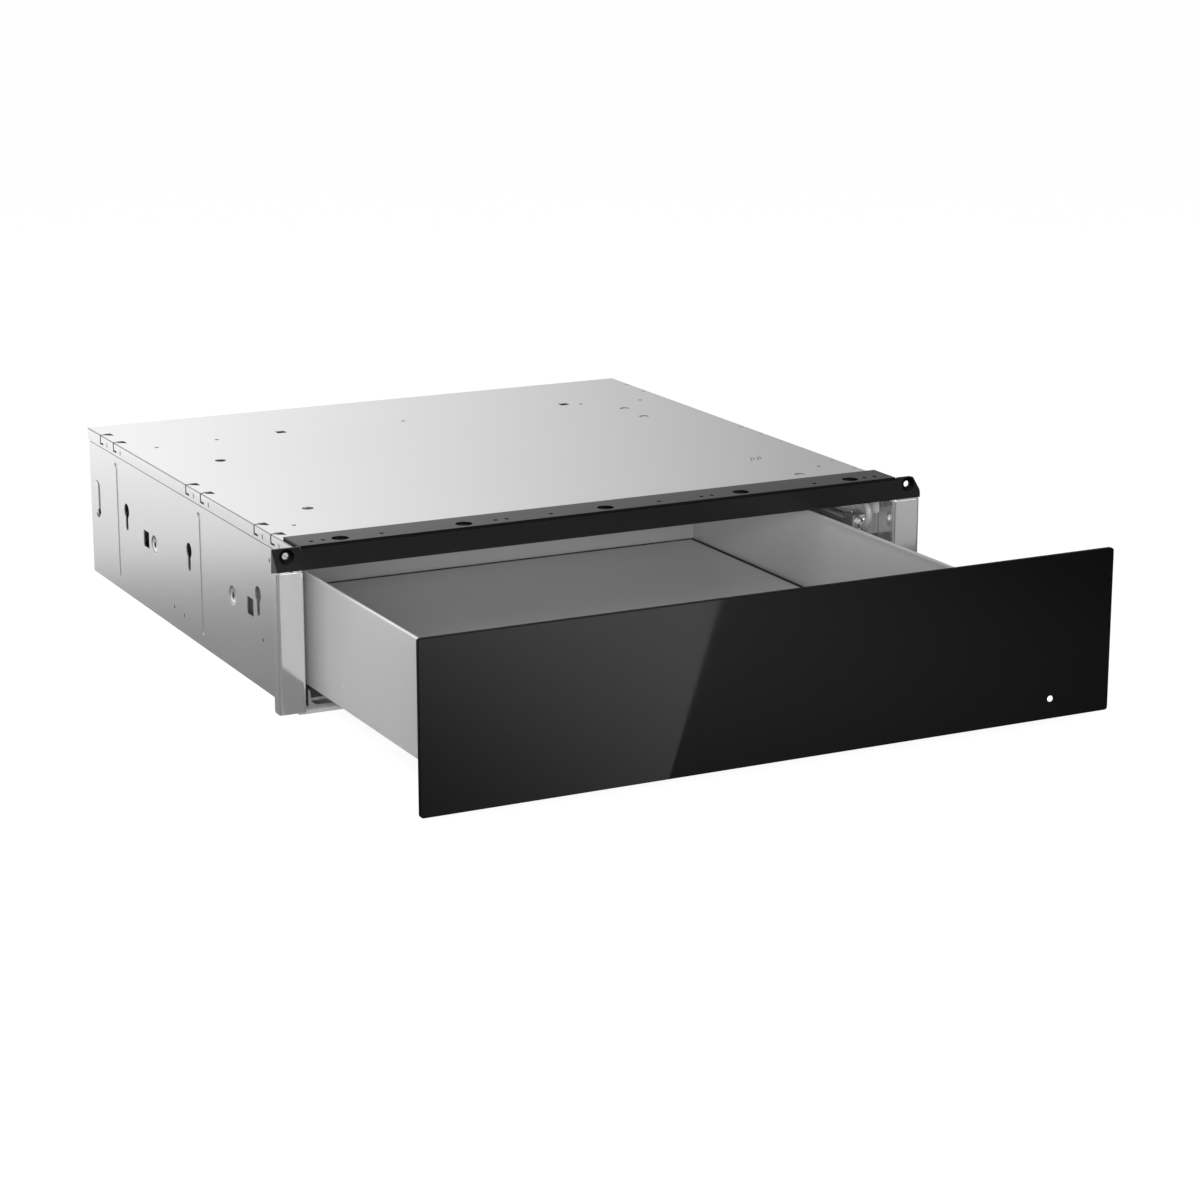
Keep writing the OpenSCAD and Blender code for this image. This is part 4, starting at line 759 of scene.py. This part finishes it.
def side_panel(side, name, node):
    y0, y1 = panel_low.y, panel_high.y
    top_z = cover_low.z + PANEL_UNDER_BAND
    x = panel_high.x
    holes, marks = [], []
    for share in keyhole_depth_shares:
        y, head_z, tail_z = back_y(share), KEYHOLE_SHARE * CASE_H, KEYHOLE_TAIL_SHARE * CASE_H
        holes.append(ring(y, head_z, KEYHOLE_HEAD_R))
        holes.append(ribbon([(y, tail_z + KEYHOLE_TAIL_HALF), (y, head_z)], KEYHOLE_TAIL_HALF))
    for share in window_depth_shares:
        holes.append(square(back_y(share), WINDOW_SHARE * CASE_H, WINDOW_HALF))
    for share in dish_depth_shares:
        spot = (back_y(share), DISH_SHARE * CASE_H)
        holes.append(ring(*spot, DISH_HOLE_R))
        marks.append(([spot], DISH_FLOOR_R, DISH_R, DISH_DEPTH))
    for share in rib_depth_shares:
        y, low_z, high_z = back_y(share), RIB_LOW_SHARE * CASE_H, RIB_TOP_SHARE * CASE_H
        curl = arc((y + RIB_CURL, high_z - RIB_CURL), RIB_CURL, 180.0, 100.0, 5)
        marks.append(([(y, low_z)] + curl, RIB_FLOOR_HALF, RIB_HALF, RIB_DEPTH))
    holes += [ring(back_y(a), b * CASE_H, DOT_R) for a, b in dot_place_shares]
    tab_y = back_y(TAB_SHARE)
    marks.append(([(tab_y, TAB_LOW_SHARE * CASE_H), (tab_y, TAB_TOP_SHARE * CASE_H)],
                  TAB_FLOOR_HALF, TAB_HALF, -TAB_RISE))
    holes.append(ring(back_y(TAB_HOLE_SHARE), TAB_LOW_SHARE * CASE_H, TAB_HOLE_R))

    def place(point, depth):
        return (side * (x - depth), point[0], point[1])

    outline = [(y0 + PANEL_CUT_L, 0.0), (y1, 0.0), (y1, top_z), (y0, top_z), (y0, PANEL_CUT_H),
               (y0 + PANEL_CUT_L, PANEL_CUT_H)]
    piece = sheet(name, outline, place, SHEET, holes, (), marks, side == LEFT, inner_slot=1)
    # The inner faces get the more diffuse zinc as painted light
    settle(piece, "case", "galvanised_steel", node, inner="zinc_inner_painted_light",
           # Bends and pressed marks get the darker zinc as painted shade
           edges=[("zinc_crease_painted_shade", leaning)])
    a, b = sorted((side * (x - SHEET - FOOT_W), side * (x - SHEET)))
    foot = slab(name + "_foot", (a, y0 + FOOT_START, SHEET), (b, y1 - SHEET, 2 * SHEET), FOOT_EDGE)
    settle(foot, "case", "galvanised_steel")


side_panel(LEFT, "side_sheet_left", "side_panel_left")
side_panel(RIGHT, "side_sheet_right", "side_panel_right")


# Front posts

POST_R = 2.5 * MM
POST_OUTER_IN = 3.7 * MM
POST_BELOW = 2.0 * MM
POST_HOLE_R = 2.0 * MM
POST_HOLE_BACK = 6.8 * MM
POST_HOLE_SHARE = 0.7577
POST_OUTER_RETURN = 11.5 * MM
POST_FLAP = 6.0 * MM
POST_FLAP_IN = 3.0 * MM
POST_CORNER_R = 2.5 * MM
POST_CREASE = 5.0 * MM
CREASE_FLOOR_HALF = 0.3 * MM
CREASE_HALF = 1.1 * MM
CREASE_DEPTH = 0.5 * MM


def front_post(side, name, node):
    inner_x, outer_x = post_low.x, post_high.x - (POST_OUTER_IN if side == LEFT else 0.0)
    low_z, top_z = post_low.z - POST_BELOW, post_high.z
    across = Fold([(inner_x, post_high.y), (inner_x, FRONT_Y), (outer_x, FRONT_Y),
                   (outer_x, FRONT_Y + POST_OUTER_RETURN)], POST_R)
    up = Fold([(low_z, 0.0), (top_z, 0.0), (top_z, POST_FLAP)], FOLD_R)
    bend = across.lines
    flap0, flap1 = bend[4] + POST_FLAP_IN, bend[5] - SHEET
    top_t = up.lines[0]
    corner = POST_CORNER_R
    full_s, full_t = across.length, top_z - low_z
    outline = [(0.0, 0.0), (full_s - corner, 0.0)]
    outline += arc((full_s - corner, corner), corner, -90.0, 0.0, 5)[1:]
    outline += [(full_s, full_t), (flap1 + SHEET, full_t), (flap1 + SHEET, top_t), (flap1, top_t),
                (flap1, up.length), (flap0, up.length), (flap0, top_t), (0.0, top_t)]
    hole_s = across.on(0, post_high.y - FRONT_Y - POST_HOLE_BACK)
    hole_z = POST_HOLE_SHARE * CASE_H - low_z
    crease_s = across.on(0, POST_CREASE)
    crease = [(crease_s, corner), (crease_s, top_t - corner)]
    marks = [(crease, CREASE_FLOOR_HALF, CREASE_HALF, CREASE_DEPTH)]
    lines = [[(s, 0.0), (s, up.length)] for s in bend] + [[(0.0, t), (full_s, t)] for t in up.lines]

    def place(point, depth):
        plan = across.at(point[0])
        rise = up.at(point[1]) if point[0] < flap1 + SHEET / 2 else Vector((low_z + point[1], 0.0))
        inward = depth if point[0] < bend[0] else 0.0
        return (side * (plan.x + inward), plan.y + rise.y, rise.x)

    holes = [ring(hole_s, hole_z, POST_HOLE_R)]
    piece = sheet(name, outline, place, SHEET, holes, lines, marks, side == LEFT)
    settle(piece, "case", "galvanised_steel", node)


front_post(LEFT, "post_sheet_left", "front_post_left")
front_post(RIGHT, "post_sheet_right", "front_post_right")


# Top strip

STRIP_T = 1.5 * MM
STRIP_R = 2.0 * MM
FLANGE_X = CASE_W / 2 - 1.0 * MM
FLANGE_CUT_DROP = 0.5 * MM
FLANGE_CUT_W = 0.8 * MM
FLANGE_GAP = 0.1 * MM
EAR_HOLE_IN = 12.5 * MM
EAR_HOLE_DROP = 7.0 * MM
EAR_HOLE_R = 2.75 * MM
EAR_DISH_R = 6.4 * MM
EAR_DISH_FLOOR_R = 3.3 * MM
EAR_DISH_DEPTH = 2.6 * MM
EAR_CUT_W = 8.0 * MM
EAR_CUT_H = 13.5 * MM
EAR_CUT_R = 3.0 * MM
EAR_SIDE_BLUNT, EAR_SIDE_SLANT, EAR_TOP_SLANT = 0.6, 0.5, 0.35
EAR_FACET_W = 5.9 * MM
EAR_FACET_IN = 4.3 * MM
EAR_FACET_TURN = 57.0
big_hole_shares = [-0.4282, -0.2327, 0.0, 0.2327, 0.4282]
strip_small_hole_shares = [0.0909, 0.1636, 0.1818, 0.3636, 0.4545, 0.4727]
BIG_HOLE_R = 7.0 * MM
STRIP_HOLE_BACK = 13.0 * MM


def top_strip():
    x, low_z, top_z = strip_high.x, strip_low.z, strip_high.z
    up = Fold([(FRONT_Y, low_z), (FRONT_Y, top_z), (strip_high.y, top_z), (strip_high.y, CASE_H)], STRIP_R)
    wall_t = top_z - low_z
    cut_t, cut_x = up.lines[0] - FLANGE_CUT_DROP, FLANGE_X + FLANGE_CUT_W
    facet_top, facet_foot = Vector((-x, wall_t)), Vector((-x + EAR_FACET_IN, 0.0))
    slant = (facet_foot - facet_top).normalized()
    outward = Vector((slant.y, -slant.x))
    if outward.x > 0:
        outward = -outward
    tip = facet_foot + outward * EAR_FACET_W
    ear_top, ear_side = Vector((x - EAR_CUT_W, wall_t)), Vector((x, wall_t - EAR_CUT_H))
    chamfer = Vector((EAR_CUT_W, -EAR_CUT_H)).normalized() * EAR_CUT_R
    corners = [facet_foot, (x, 0.0), ear_side - Vector((0.0, EAR_CUT_R * EAR_SIDE_BLUNT)),
               ear_side - chamfer * EAR_SIDE_SLANT, ear_top + chamfer * EAR_TOP_SLANT,
               ear_top - Vector((EAR_CUT_R, 0.0)), (cut_x, wall_t), (cut_x, cut_t), (FLANGE_X, cut_t),
               (FLANGE_X, up.length), (-FLANGE_X, up.length), (-FLANGE_X, cut_t), (-cut_x, cut_t),
               (-cut_x, wall_t), facet_top, tip]
    outline = [tuple(corner) for corner in corners]
    holes, marks = [], []
    for side in (LEFT, RIGHT):
        spot = (side * (x - EAR_HOLE_IN), wall_t - EAR_HOLE_DROP)
        holes.append(ring(*spot, EAR_HOLE_R))
        marks.append(([spot], EAR_DISH_FLOOR_R, EAR_DISH_R, EAR_DISH_DEPTH))
        holes += [ring(side * share * CASE_W, up.on(1, STRIP_HOLE_BACK), SMALL_HOLE_R)
                  for share in strip_small_hole_shares]
    holes += [ring(share * CASE_W, up.on(1, STRIP_HOLE_BACK), BIG_HOLE_R, 32) for share in big_hole_shares]
    lines = [[(-FLANGE_X, t), (FLANGE_X, t)] for t in up.lines] + [[tuple(facet_top), tuple(facet_foot)]]
    turn = math.radians(EAR_FACET_TURN)

    def place(point, depth):
        over = (Vector(point) - facet_foot).dot(outward)
        if over > 0.0:
            flat = Vector(point) - outward * over * (1.0 - math.cos(turn))
            return (flat.x, FRONT_Y + over * math.sin(turn), low_z + flat.y)
        side = up.at(point[1])
        if abs(point[0]) > FLANGE_X + FLANGE_GAP:
            return (point[0], FRONT_Y + depth, low_z + point[1])
        return (point[0], side.x + depth, side.y)

    piece = sheet("top_strip_sheet", outline, place, STRIP_T, holes, lines, marks)
    settle(piece, "case", "black_steel", "top_strip", edges=[
        # The left ear's facet that faces left gets the lighter black as painted sheen
        ("black_painted_sheen_and_shade", lambda face: face.center.x < -x + EAR_FACET_IN and face.normal.x < -FACING),
        # The front bend and the dimples' front slopes get the deeper black as painted shade
        ("black_painted_shade", lambda face: leaning(face) and face.normal.y < 0.0)])


top_strip()


# Base plate's left front corner: an upright tab beside the rail

TAB_X_IN = 6.5 * MM
TAB_W = 1.4 * MM
TAB_TOP = 19.5 * MM
TAB_LOW = 6.6 * MM
TAB_WIDE = 5.5 * MM
TAB_CURVE_Z = 12.0 * MM
TAB_CURVE_SHARE = 0.8
base_low, base_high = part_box("base_plate")


def corner_tab():
    x0 = base_high.x - TAB_X_IN - TAB_W
    loop = [(x0 - TAB_WIDE, TAB_LOW), (x0 + TAB_W, TAB_LOW), (x0 + TAB_W, TAB_TOP), (x0, TAB_TOP)]
    loop += arc((x0 - TAB_WIDE, TAB_CURVE_Z), TAB_WIDE * TAB_CURVE_SHARE, 0.0, -70.0, 5)

    def place(point, depth):
        return (-point[0], base_low.y, point[1])

    piece = sheet("base_tab_left", loop, place, SHEET, flip=True)
    settle(piece, "case", "galvanised_steel")


corner_tab()

# Low and high corner of the foot under the left rail, from the base plate's left front corner
RAIL_FOOT = ((10.5 * MM, 8.0 * MM, 7.6 * MM), (28.5 * MM, 12.0 * MM, 10.4 * MM))
SLAB_EDGE = 0.4 * MM
rail_foot = [(base_low.x + x, base_low.y + y, z) for x, y, z in RAIL_FOOT]
settle(slab("rail_foot_left", *rail_foot, SLAB_EDGE), "case", "galvanised_steel")


# Drawer box: sheet walls with folded rims

RIM_W = 3.0 * MM
HEM = 2.4 * MM
RIM_R = 0.8 * MM
side_low, side_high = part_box("drawer_side_left")
DRAWER_X0, DRAWER_X1 = side_low.x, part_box("drawer_side_right")[1].x
DRAWER_Y0, DRAWER_Y1 = side_low.y, side_high.y
DRAWER_LOW, DRAWER_TOP = side_low.z, side_high.z


def drawer_wall(name, node, outer, inward, ends, turned, flip):
    """A wall whose outer face is at outer; turned walls run along X, the others along Y.

    The left one's rim faces that look up get a painted highlight, a brighter copy of the steel."""
    path = Fold([(outer, DRAWER_LOW), (outer, DRAWER_TOP), (outer + inward * RIM_W, DRAWER_TOP),
                 (outer + inward * RIM_W, DRAWER_TOP - HEM)], RIM_R)
    outline = [(0.0, ends[0]), (path.length, ends[0]), (path.length, ends[1]), (0.0, ends[1])]
    if turned:
        foot = path.lines[0]
        low_end, high_end = ends[0] + (RIM_W - SHEET), ends[1] - (RIM_W - SHEET)
        outline = [(0.0, ends[0]), (foot, ends[0]), (foot, low_end), (path.length, low_end),
                   (path.length, high_end), (foot, high_end), (foot, ends[1]), (0.0, ends[1])]
    lines = [[(s, ends[0]), (s, ends[1])] for s in path.lines]

    def place(point, depth):
        spot = path.at(point[0])
        return (point[1], spot.x, spot.y) if turned else (spot.x, point[1], spot.y)

    piece = sheet(name, outline, place, SHEET, (), lines, (), flip)
    # Painted highlight on the left wall's upward rim faces
    rims = [("rim_painted_highlight", lambda face: face.normal.z > FACING)] if outer == DRAWER_X0 else ()
    settle(piece, "drawer", "drawer_steel", node, edges=rims)


drawer_wall("drawer_wall_left", "drawer_side_left", DRAWER_X0, 1, (DRAWER_Y0, DRAWER_Y1), False, False)
drawer_wall("drawer_wall_right", "drawer_side_right", DRAWER_X1, -1, (DRAWER_Y0, DRAWER_Y1), False, True)
INSIDE_X = (DRAWER_X0 + SHEET, DRAWER_X1 - SHEET)
drawer_wall("drawer_wall_back", "drawer_back", DRAWER_Y1, -1, INSIDE_X, True, False)
drawer_wall("drawer_wall_front", "drawer_front_wall", DRAWER_Y0, 1, INSIDE_X, True, True)
STRIKER_HALF_W = 12.0 * MM
STRIKER_HALF_H = 10.0 * MM
latch_low, latch_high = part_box("latch_spring")
LATCH_X = (latch_low.x + latch_high.x) / 2
LATCH_Z = (latch_low.z + latch_high.z) / 2
striker_low = (LATCH_X - STRIKER_HALF_W, DRAWER_Y1, LATCH_Z - STRIKER_HALF_H)
striker_high = (LATCH_X + STRIKER_HALF_W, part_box("drawer_back")[1].y, LATCH_Z + STRIKER_HALF_H)
settle(slab("latch_striker", striker_low, striker_high, SLAB_EDGE), "drawer", "drawer_steel")


# Dark joint round the warming plate

JOINT_W = 4.2 * MM
JOINT_R = 2.0 * MM
JOINT_PROUD = 0.15 * MM
seal_low, seal_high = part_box("plate_seal")


def plate_joint():
    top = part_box("warming_plate")[1].z + JOINT_PROUD
    inner = box_loop(seal_low.x + JOINT_W, seal_low.y + JOINT_W, seal_high.x - JOINT_W,
                     seal_high.y - JOINT_W, JOINT_R)

    def place(point, depth):
        return (point[0], point[1], top)

    piece = sheet("plate_joint", box_loop(seal_low.x, seal_low.y, seal_high.x, seal_high.y), place,
                  top - seal_low.z, [inner])
    settle(piece, "drawer", "dark_rubber", "plate_seal")


plate_joint()


# Front glass

GLASS_R = 2.5 * MM
GLASS_BEVEL = 0.35 * MM
GLASS_GUARD_IN = 2.0 * MM
LIGHT_R = 2.5 * MM
LIGHT_DOME = 0.5 * MM
glass_low, glass_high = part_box("front_glass")
lens_low, lens_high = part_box("status_lens")
light_x, light_z = (lens_low.x + lens_high.x) / 2, (lens_low.z + lens_high.z) / 2


def front_glass():
    def place(point, depth):
        return (point[0], glass_low.y, point[1])

    inset = GLASS_GUARD_IN
    hole = ring(light_x, light_z, LIGHT_R, 40)
    outline = box_loop(glass_low.x, glass_low.z, glass_high.x, glass_high.z, GLASS_R, 8)
    guards = [ring(light_x, light_z, (lens_high.x - lens_low.x) / 2 + inset, 40),
              box_loop(glass_low.x + inset, glass_low.z + inset,
                       glass_high.x - inset, glass_high.z - inset)]
    piece = sheet("front_glass_pane", outline, place, glass_high.y - glass_low.y, [hole], rim_slot=1,
                  guards=guards)
    piece.modifiers.clear()
    soften(piece, GLASS_BEVEL, 2, 60.0).material = 1
    settle(piece, "drawer", "black_glass", "front_glass")
    piece.data.materials.append(LOOKS["glass_edge"])


front_glass()

# The light's dome: shares of its rise and of its radius
dome = [(0.0, 0.2), (0.25, 0.55), (0.6, 0.85), (1.0, 1.0)]
centres = [(light_x, glass_low.y - LIGHT_DOME * (1.0 - t), light_z) for t, _ in dome]
radii = [LIGHT_R * share for _, share in dome]
settle(tube("status_light", centres + [(light_x, lens_high.y, light_z)], radii + [LIGHT_R], 32),
       "drawer", "light_plastic", "status_lens")


# Supply conduit: a wound metal hose in two straight strands and a bend, the bend on the right middle rail

conduit_low, conduit_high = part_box("supply_conduit")
HOSE_R = 6.0 * MM
HOSE_GROOVE = 0.18 * MM
HOSE_PITCH = 3.4 * MM
RINGS_PER_PITCH = 6
HOSE_X = (conduit_low.x + conduit_high.x) / 2
HOSE_TOP_Z = conduit_high.z - HOSE_R
HOSE_LOW_Z = conduit_low.z + HOSE_R
BEND_R = (HOSE_TOP_Z - HOSE_LOW_Z) / 2
BEND_Y = conduit_high.y - HOSE_R - BEND_R
HOSE_FIXED_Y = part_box("conduit_clip")[0].y
HOSE_DRAWER_Y = conduit_low.y


def hose(name, point_at, length):
    count = int(length / HOSE_PITCH * RINGS_PER_PITCH)
    centres = [point_at(k / count) for k in range(count + 1)]
    radii = [HOSE_R - HOSE_GROOVE * (0.5 - 0.5 * math.cos(2.0 * math.pi * k / RINGS_PER_PITCH))
             for k in range(count + 1)]
    return tube(name, centres, radii)


upper = hose("conduit_upper", lambda t: (HOSE_X, HOSE_FIXED_Y + t * (BEND_Y - HOSE_FIXED_Y), HOSE_TOP_Z),
             BEND_Y - HOSE_FIXED_Y)
settle(upper, None, "conduit_metal", "supply_conduit")
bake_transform(upper)
bend = hose("conduit_bend", lambda t: (HOSE_X, BEND_Y + BEND_R * math.sin(math.pi * t),
                                       (HOSE_TOP_Z + HOSE_LOW_Z) / 2 + BEND_R * math.cos(math.pi * t)),
            math.pi * BEND_R)
settle(bend, "middle_right", "conduit_metal", "supply_conduit")
lower = hose("conduit_lower", lambda t: (HOSE_X, BEND_Y + t * (HOSE_DRAWER_Y - BEND_Y), HOSE_LOW_Z),
             BEND_Y - HOSE_DRAWER_Y)
settle(lower, None, "conduit_metal", "supply_conduit")
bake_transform(lower)

# The fitting at its fixed end: places along it and radii, in millimetres
FERRULE = ((-3.0, 6.5), (-2.6, 6.9), (-0.4, 6.9), (0.0, 6.5))
centres = [(HOSE_X, HOSE_FIXED_Y + place * MM, HOSE_TOP_Z) for place, _ in FERRULE]
ferrule = tube("conduit_ferrule", centres, [radius * MM for _, radius in FERRULE], 24)
settle(ferrule, "case", "conduit_metal")


# Latch spring

SPRING_WIRE_R = 0.45 * MM
SPRING_TURNS = 6
SPRING_STEPS = 20
spring_r = (latch_high.x - latch_low.x) / 2 - SPRING_WIRE_R
spring_y0, spring_y1 = latch_low.y + SPRING_WIRE_R, latch_high.y - SPRING_WIRE_R
total = SPRING_TURNS * SPRING_STEPS
coil = [(LATCH_X + spring_r * math.cos(2 * math.pi * k / SPRING_STEPS),
         spring_y0 + (spring_y1 - spring_y0) * k / total,
         LATCH_Z + spring_r * math.sin(2 * math.pi * k / SPRING_STEPS)) for k in range(total + 1)]
spring = tube("latch_coil", coil, [SPRING_WIRE_R] * len(coil), 8)
settle(spring, None, "ball_steel", "latch_spring")
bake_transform(spring)


# Looks of the nodes that keep their own shape

for name, node in NODES.items():
    dress(node, SLOT_OF[name])
dress(NODES["supply_lead"], "braid")

# Width of their softened edges, in millimetres
SOFT_EDGES = {
    0.8: ("control_housing", "control_cover"),
    0.7: ("warming_plate", "selector_knob"),
    0.6: ("latch_body",),
    0.5: ("rocker_key",),
    0.4: ("terminal_cover", "rocker_frame", "front_frame", "cable_gland", "terminal_block"),
    0.3: ("conduit_clip", "rail_outer_left", "rail_outer_right", "rail_middle_left", "rail_middle_right",
          "rail_inner_left", "rail_inner_right", "case_rivets", "case_screws"),
    0.25: ("front_back_panel",),
    0.2: ("rear_panel", "base_plate", "drawer_bottom"),
}
for width, names in SOFT_EDGES.items():
    for name in names:
        soften(NODES[name], width * MM)


# Stage

FLOOR_REACH = 30.0
FLOOR_DROP = 0.3 * MM
FLOOR_TONE = 0.92
FLOOR_LEVEL = 1.12
FLOOR_EVEN_SHARE = 0.80

# What metal and glass see of the floor: soft edges by two places along X or Y in metres, and levels
GLASS_ZONE = (-0.545, -0.555)
GLASS_SIDE = (-0.06, -0.03)
GLASS_SLANT = 0.742
CARD_SLANT, CARD_EDGE = -0.6564, -0.4611
CARD_SOFT = (-0.001, 0.001)
LEFT_CARD, LEFT_LEVELS = (-0.35, 0.16), (0.12, 0.95)
RIGHT_CARD, RIGHT_LEVELS = (-0.05, 0.65), (0.22, 0.03)
RIGHT_FAR, FAR_FACTORS = (-0.56, -1.0), (0.62, 1.68)
# A painted shadow under the drawer that metal sees: its level, and soft edges along X and Y
UNDER_SHADOW_LEVEL = 0.05
UNDER_LEFT = (-0.287, -0.282)
UNDER_FRONT = (-0.545, -0.535)
UNDER_BACK = (-0.275, -0.265)

floor_mesh = bpy.data.meshes.new("floor")
corners = [(x, y, 0.0) for x, y in square(0.0, 0.0, FLOOR_REACH)]
floor_mesh.from_pydata(corners, [], [(0, 1, 2, 3)])
floor = bpy.data.objects.new("floor", floor_mesh)
floor.location = (0.0, 0.0, -FLOOR_DROP)
scene.collection.objects.link(floor)


def floor_material():
    """White to the eye with a faint shadow; metal and glass see two cards in front of the glass, a painted
    shadow under the drawer, and elsewhere the studio through it"""
    tree = new_material("floor_white")
    coordinates = tree.node("ShaderNodeSeparateXYZ")
    tree.put(coordinates.inputs[0], tree.node("ShaderNodeTexCoord").outputs["Object"])
    x, y = coordinates.outputs[0], coordinates.outputs[1]
    in_card = tree.share(tree.math("SUBTRACT", tree.math("MULTIPLY_ADD", y, CARD_SLANT, CARD_EDGE), x),
                         *CARD_SOFT)
    left_level = tree.between(tree.share(x, *LEFT_CARD), *LEFT_LEVELS)
    right_level = tree.math("MULTIPLY", tree.between(tree.share(x, *RIGHT_CARD), *RIGHT_LEVELS),
                            tree.between(y, *FAR_FACTORS, *RIGHT_FAR))
    cards = tree.light("Emission", tree.lerp(in_card, right_level, left_level))
    beside = tree.share(tree.math("MULTIPLY_ADD", y, GLASS_SLANT, x), *GLASS_SIDE)
    held = tree.math("MULTIPLY", tree.share(y, *GLASS_ZONE), tree.rest(beside))
    to_gloss = tree.blend(held, tree.node("ShaderNodeBsdfTransparent").outputs[0], cards)
    # Painted shadow under the drawer, seen only by glossy rays
    under = tree.math("MULTIPLY", tree.share(x, *UNDER_LEFT), tree.share(y, *UNDER_FRONT))
    under = tree.math("MULTIPLY", under, tree.rest(tree.share(y, *UNDER_BACK)))
    to_gloss = tree.blend(under, to_gloss, tree.light("Emission", UNDER_SHADOW_LEVEL))
    diffuse = tree.node("ShaderNodeBsdfDiffuse")
    diffuse.inputs["Color"].default_value = grey(FLOOR_TONE)
    to_eye = tree.blend(FLOOR_EVEN_SHARE, diffuse.outputs[0], tree.light("Emission", FLOOR_LEVEL))
    path = tree.node("ShaderNodeLightPath")
    picked = tree.blend(path.outputs["Is Camera Ray"], diffuse.outputs[0], to_eye)
    tree.finish("Material", tree.blend(path.outputs["Is Glossy Ray"], picked, to_gloss))


floor_material()
floor.data.materials.append(LOOKS["floor_white"])

# What metal mirrors: levels by height over the horizon in degrees, and by heading in degrees from +Y to +X
LOWER_STOPS = ((-60.0, 0.08), (-25.0, 0.10), (-17.0, 0.14), (-15.2, 0.20), (-14.4, 0.34), (-13.6, 0.70),
               (-12.7, 0.80), (-11.6, 1.0), (21.0, 1.0), (24.0, 0.35), (50.0, 0.35))
UPPER_STOPS = ((-180.0, 0.34), (-110.0, 0.30), (-75.0, 0.14), (-60.0, 0.30), (-42.0, 1.15), (0.0, 1.22),
               (12.0, 1.28), (18.0, 1.20), (24.0, 0.88), (31.0, 0.48), (45.0, 0.40), (60.0, 0.62),
               (90.0, 0.68), (180.0, 0.68))
FRONT_RIGHT = (105.0, 120.0)
FRONT_LEVEL = 0.36
FRONT_BOX = (115.0, 130.0)
FRONT_BOX_HEIGHT = (16.0, 21.0)
FRONT_BOX_LEVEL = 1.5
ROOM_LEVEL = 0.62
BACKDROP_LEVEL = 1.0


def world_light():
    world = bpy.data.worlds.new("studio")
    world.use_nodes = True
    scene.world = world
    tree = Tree(world.node_tree)
    direction = tree.node("ShaderNodeSeparateXYZ")
    tree.put(direction.inputs[0], tree.node("ShaderNodeTexCoord").outputs["Generated"])
    heading = tree.math("DEGREES", tree.math("ARCTAN2", direction.outputs[0], direction.outputs[1]))
    height = tree.math("DEGREES", tree.math("ARCSINE", direction.outputs[2]))
    lower = tree.steps(height, LOWER_STOPS)
    upper = tree.steps(heading, UPPER_STOPS)
    round_about = tree.math("MULTIPLY", lower, upper)
    seen_level = tree.lerp(tree.share(heading, *FRONT_RIGHT), round_about, FRONT_LEVEL)
    from_front = tree.share(tree.math("ABSOLUTE", heading), *FRONT_BOX)
    front_box = tree.math("MULTIPLY", from_front, tree.share(height, *FRONT_BOX_HEIGHT))
    seen_level = tree.math("ADD", seen_level, tree.math("MULTIPLY", front_box, FRONT_BOX_LEVEL))
    path = tree.node("ShaderNodeLightPath")
    glossy = tree.math("MAXIMUM", path.outputs["Is Glossy Ray"], path.outputs["Is Transmission Ray"])
    picked = tree.blend(glossy, tree.light("Background", ROOM_LEVEL), tree.light("Background", seen_level))
    backdrop = tree.light("Background", BACKDROP_LEVEL)
    tree.finish("World", tree.blend(path.outputs["Is Camera Ray"], picked, backdrop))


world_light()


def area_lamp(name, place, target, size, power, in_gloss=True):
    data = bpy.data.lights.new(name, "AREA")
    data.shape = "RECTANGLE"
    data.size, data.size_y = size
    data.energy = power
    lamp = bpy.data.objects.new(name, data)
    lamp.location = place
    lamp.rotation_euler = (Vector(target) - lamp.location).to_track_quat("-Z", "Y").to_euler()
    lamp.visible_glossy = in_gloss
    scene.collection.objects.link(lamp)


# Lamps: place, target, size, power and whether metal mirrors them
area_lamp("key", (-1.2, -0.9, 2.2), (0.0, -0.1, 0.05), (1.6, 1.2), 11.0)
area_lamp("front_fill", (-1.35, -3.0, 1.02), (0.0, -0.15, 0.07), (1.3, 0.5), 62.0, False)
area_lamp("low_fill", (-1.35, -3.0, 0.60), (0.0, -0.03, 0.08), (1.6, 0.3), 40.0, False)
area_lamp("gap_fill", (-1.35, -3.0, 0.34), (0.25, -0.15, 0.11), (1.2, 0.16), 20.0, False)

scene.view_settings.view_transform = "Standard"
